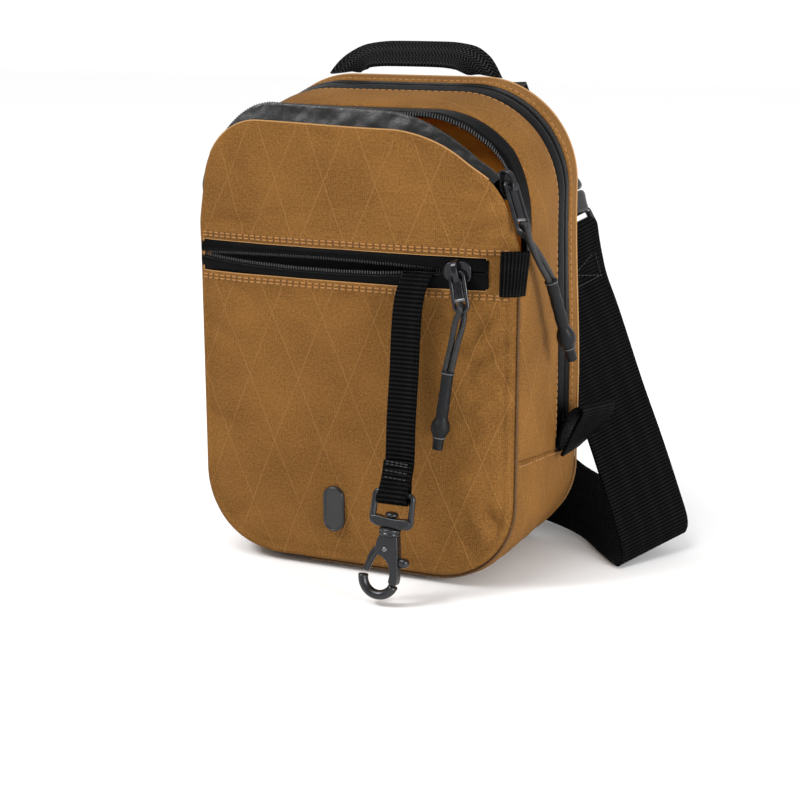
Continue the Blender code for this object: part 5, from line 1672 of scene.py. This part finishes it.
def turn_points(centre, radius):
    """A half circle round a bar, on the side of larger first coordinates, as (along, out) pairs."""
    return [(centre + radius * math.sin(angle), -radius * math.cos(angle))
            for angle in (math.pi * step / 4 for step in range(5))]


def loft(name, sections, look, seat, steps=48, **facts):
    """A body through sections of (along, half width, half thickness, squareness)."""
    rings = []
    for along, wide, high, square in spline(sections, 4):
        ring = []
        for cosine, sine in around(steps):
            across = math.copysign(abs(cosine) ** (2 / square), cosine) * wide
            over = math.copysign(abs(sine) ** (2 / square), sine) * high
            ring.append(seat @ Vector((along, across, over)))
        rings.append(ring)
    return skin(name, rings, look, smooth=60.0, **facts)


def rounded_rect(low_u, high_u, half_v, corner):
    """A rectangle with rounded corners in a frame's X and Y."""
    near, far, side = low_u + corner, high_u - corner, half_v - corner
    flat = quarter_arcs([(near, side), (near, -side), (far, -side), (far, side)], corner, 5)
    return [(u, v, 0) for u, v in flat]


def make_buckle():
    """The side-release buckle: a ribbed socket on the bag's side, a pronged insert on the strap's side."""
    seat = buckle_frame()
    look = "plastic"
    socket = {"body": "bag", "slot": "buckle_plastic"}
    insert = {"body": "buckle_insert", "slot": "buckle_plastic"}
    sections = [(-39.2, 20.2, 1.6, 5), (-38.6, 21.8, 2.8, 5), (-37.4, 22.4, 4.3, 5), (-35.6, 22.5, 4.7, 5),
                (-33.8, 22.0, 4.2, 5), (-31.6, 20.4, 3.7, 5), (-28.5, 19.9, 3.6, 5),
                (-25.4, 20.4, 3.8, 5), (-22.8, 22.2, 4.3, 5), (-20.6, 22.5, 4.7, 5),
                (-19.0, 22.3, 4.4, 5), (-18.1, 21.6, 3.2, 5)]
    loft("buckle_socket", sections, look, seat, replaces=["buckle_female"], **socket)
    tube_mesh("buckle_socket_bar", frame_points(seat, rounded_rect(-45.2, -38.0, 21.0, 1.8)), 1.55, look,
              14, True, **socket)
    sections = [(-17.6, 20.9, 3.0, 5), (-17.0, 21.6, 4.1, 5), (-15.4, 21.8, 4.4, 5),
                (-13.4, 21.4, 3.9, 5), (-11.4, 21.0, 3.3, 5), (-9.4, 20.9, 2.6, 5), (-8.3, 20.4, 1.7, 5)]
    loft("buckle_insert_head", sections, look, seat, replaces=["buckle_male"], **insert)
    tube_mesh("buckle_insert_bar", frame_points(seat, rounded_rect(-9.2, -1.5, 20.6, 1.8)), 1.5, look, 14,
              True, **insert)
    for name, side in (("left", -1), ("right", 1)):
        pad = [(-33.6, 1.2, 1.3, 3), (-32.6, 2.0, 2.0, 3), (-29.0, 2.5, 2.4, 3), (-25.0, 2.2, 2.2, 3),
               (-23.4, 1.3, 1.5, 3)]
        shifted = seat @ Matrix.Translation((0, side * 20.2, 0))
        loft("buckle_prong_" + name, pad, look, shifted, 28, **insert)
        arm = [(-15.0, side * 15.4, 0), (-20.0, side * 15.8, 0), (-25.0, side * 17.2, 0),
               (-29.0, side * 19.0, 0), (-31.5, side * 20.0, 0)]
        tube_mesh("buckle_arm_" + name, frame_points(seat, spline(arm, 4)), 1.6, look, 12, **insert)
    rounded_block("buckle_tongue", (-31.0, -6.0, -1.2), (-15.0, 6.0, 1.2), 0.5, look, seat, **insert)


def make_strap_anchor():
    seat = buckle_frame()
    side = BUCKLE_SIDE.normalized() * STRAP_WIDE / 2
    sewn = Vector((STRAP_WIDE / 2, 0, -1.0))
    fold = [(-54.0, -1.2), (-49.5, -2.4), *turn_points(SOCKET_BAR, BAR_TURN), (-49.5, 1.7), (-56.0, 0.6)]
    folded = [(seat @ Vector((u, 0, n)), side) for u, n in fold]
    start = [(Vector((24.0, 38.6, 183.6)), sewn), (Vector((24.0, 38.8, 189.0)), sewn),
             (Vector((24.0, 42.4, 193.6)), sewn), (Vector((24.6, 49.5, 193.4)), mix(sewn, side, 0.35)),
             (Vector((26.2, 57.0, 186.0)), mix(sewn, side, 0.8))]
    web("strap_anchor_web", start + folded, STRAP_THICK, "strap", 8, 14, **WEBBING,
        replaces=["strap_anchor"])


def strap_root():
    """The insert's bar, half the strap's width along it, and the way the strap's stitched end faces."""
    side = BUCKLE_SIDE.normalized() * STRAP_WIDE / 2
    return buckle_frame() @ Vector((INSERT_BAR, 0, 0)), side, STITCHED_WAY.cross(side).normalized()


def strap_stations():
    """The strap's route: down from the buckle, a turn near the floor, back behind the bag and folded up."""
    seat = buckle_frame()
    bar, side, face = strap_root()
    under = [(24.0, -1.2), (14.0, -1.3), (6.5, -2.4)]
    stations = [(bar + STITCHED_WAY * u + face * n, side) for u, n in under]
    stations += [(seat @ Vector((INSERT_BAR - u, 0, n)), side) for u, n in turn_points(0.0, BAR_TURN)]
    stations += [(bar + STITCHED_WAY * u + face * n, side) for u, n in [(6.5, 2.4), (14.0, 1.3)]]
    stations += [
        ((63.7, 58.0, 106.4), (9.2, 15.9, 4.6)), ((70.2, 56.1, 91.8), (9.3, 15.9, 4.5)),
        ((82.4, 53.1, 61.7), (9.3, 15.9, 4.5)), ((92.9, 45.6, 41.8), (9.5, 15.9, 4.3)),
        ((103.1, 37.1, 22.4), (9.6, 15.9, 4.0)), ((110.2, 29.0, 9.3), (9.8, 15.9, 3.4)),
        ((109.8, 24.6, 5.0), (9.6, 16.0, 3.4)), ((104.4, 28.0, 5.6), (8.0, 16.3, 4.2)),
        ((90.0, 39.0, 9.8), (2.6, 16.4, 8.6)), ((70.0, 56.0, 11.8), (-2.6, 15.6, 10.4)),
        ((50.0, 66.0, 16.4), (-1.5, 11.0, 15.2)), ((20.0, 71.5, 19.8), (0.0, 3.0, 18.6))]
    upright = Vector((0, 0, STRAP_WIDE / 2))
    folds = [(-30.0, 72.0, LAID_Z), (-56.0, 70.0, LAID_Z), (-60.4, 67.0, LAID_Z), (-56.0, 64.0, LAID_Z),
             (-20.0, 62.8, LAID_Z), (24.0, 61.4, LAID_Z), (27.8, 58.9, LAID_Z), (24.0, 56.4, LAID_Z),
             (8.0, 56.2, 21.4), (-10.0, 56.0, HARDWARE_Z), (-30.0, 55.0, HARDWARE_Z),
             (-46.0, 53.8, HARDWARE_Z)]
    folds += [(-54.4 - u, 50.0 - n, HARDWARE_Z) for u, n in turn_points(0.0, BAR_TURN)]
    sewn = [(-42.0, 46.8), (-25.0, 46.9), (-14.0, 46.9), (-8.0, 47.6), (-3.8, 49.0), (-1.9, 51.2),
            (-3.2, 53.0), (-6.0, 53.4), (-8.8, 53.0), (-10.4, 51.2), (-12.0, 49.6), (-17.0, 48.8),
            (-30.0, 48.7)]
    folds += [(x, y, HARDWARE_Z) for x, y in sewn]
    return stations + [(centre, upright) for centre in folds]


def make_strap():
    stations = strap_stations()
    strap = web("shoulder_strap", stations, STRAP_THICK, "strap", 8, 14, slot="black_webbing",
                replaces=["strap_webbing"])
    freeze(strap)
    bar, side, face = strap_root()
    box_stitch("strap_box", bar + STITCHED_WAY * 17.0 + face * 2.15, STITCHED_WAY, side.normalized(), face,
               5.5, 15.0, "black_thread", body="buckle_insert", slot="black_webbing")
    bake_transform(strap)
    make_lower_hardware()


def make_lower_hardware():
    look = "plastic"
    facts = {"body": "bag", "slot": "buckle_plastic"}
    ring_seat = frame_at((-55.0, 50.0, HARDWARE_Z), (1, 0, 0), (0, 1, 0))
    tube_mesh("strap_ring", frame_points(ring_seat, rounded_rect(-10.9, 0.4, 21.1, 2.2)), 1.45, look, 14,
              True, replaces=["lower_ring"], **facts)
    up = Vector((0, 0, 17.0))
    tab = [(-58.6, 38.6), (-63.0, 39.4), (-67.6, 42.6), (-69.8, 46.6), (-69.6, 51.0), (-67.4, 53.4),
           (-64.2, 53.2), (-62.4, 50.2), (-62.2, 46.6), (-60.8, 43.6), (-58.8, 42.2)]
    web("lower_anchor_web", [((x, y, HARDWARE_Z), up) for x, y in tab], STRAP_THICK, "strap", 6, 12,
        **WEBBING, replaces=["lower_anchor"])
    glide_seat = frame_at((-6.0, 51.2, HARDWARE_Z), (1, 0, 0), (0, 1, 0))
    tube_mesh("triglide_frame", frame_points(glide_seat, rounded_rect(-9.8, 9.8, 21.1, 2.0)), 1.2, look, 14,
              True, flat=0.55, up=(0, 1, 0), replaces=["triglide"], **facts)
    rounded_block("triglide_bar", (-2.0, -20.6, -0.6), (2.0, 20.6, 0.6), 0.3, look, glide_seat, **facts)


# Stitching

WINDOW_STITCHES = (1.5, 2.8)
ZIP_STITCHES = 2.4


def make_stitches():
    for name, y in (("front", ZIP_FRONT - ZIP_STITCHES), ("rear", ZIP_REAR + ZIP_STITCHES)):
        points, normals = [], []
        for t, length in stops(0.06, ZIP_STOP - 0.02, 2.0):
            nx, nz = outward(t, y)
            points.append(on_girth(t, y, 0.12))
            normals.append(Vector((nx, 0, nz)))
        surface_stitches("main_stitches_" + name, points, normals, "thread", holes=True, **CLOTH)
    left, right, low, high = WINDOW
    near, far = WINDOW_STITCHES
    for name, z in (("a", high + near), ("b", high + far), ("c", low - near), ("d", low - far)):
        points = [Vector((x, front_depth(x, z) - 0.06, z)) for x in even_steps(left, 66.5, 60)]
        surface_stitches("pocket_stitches_" + name, points, [(0, -1, 0)] * len(points), "thread", holes=True,
                         **CLOTH)
    for name, t, side in (("right", GIRTH_END - 0.12, 1), ("left", LEFT_SEAM + 0.2, -1)):
        points = [on_girth(t, y, 0.1) for y in even_steps(FRONT_Y + 3, REAR_Y - 3, 40)]
        surface_stitches("boot_stitches_" + name, points, [(side, 0, 0)] * len(points), "thread", holes=True,
                         **CLOTH)


make_front_cloth()
make_edge_highlights()
make_gussets()
make_seam_lines()
make_back()
make_back_pad()
make_linings()
make_main_zip()
make_front_zip()
make_pocket_zip()
make_pulls()
make_handle()
make_side_loops()
make_badge()
make_leash()
make_buckle()
make_strap_anchor()
make_strap()
make_stitches()
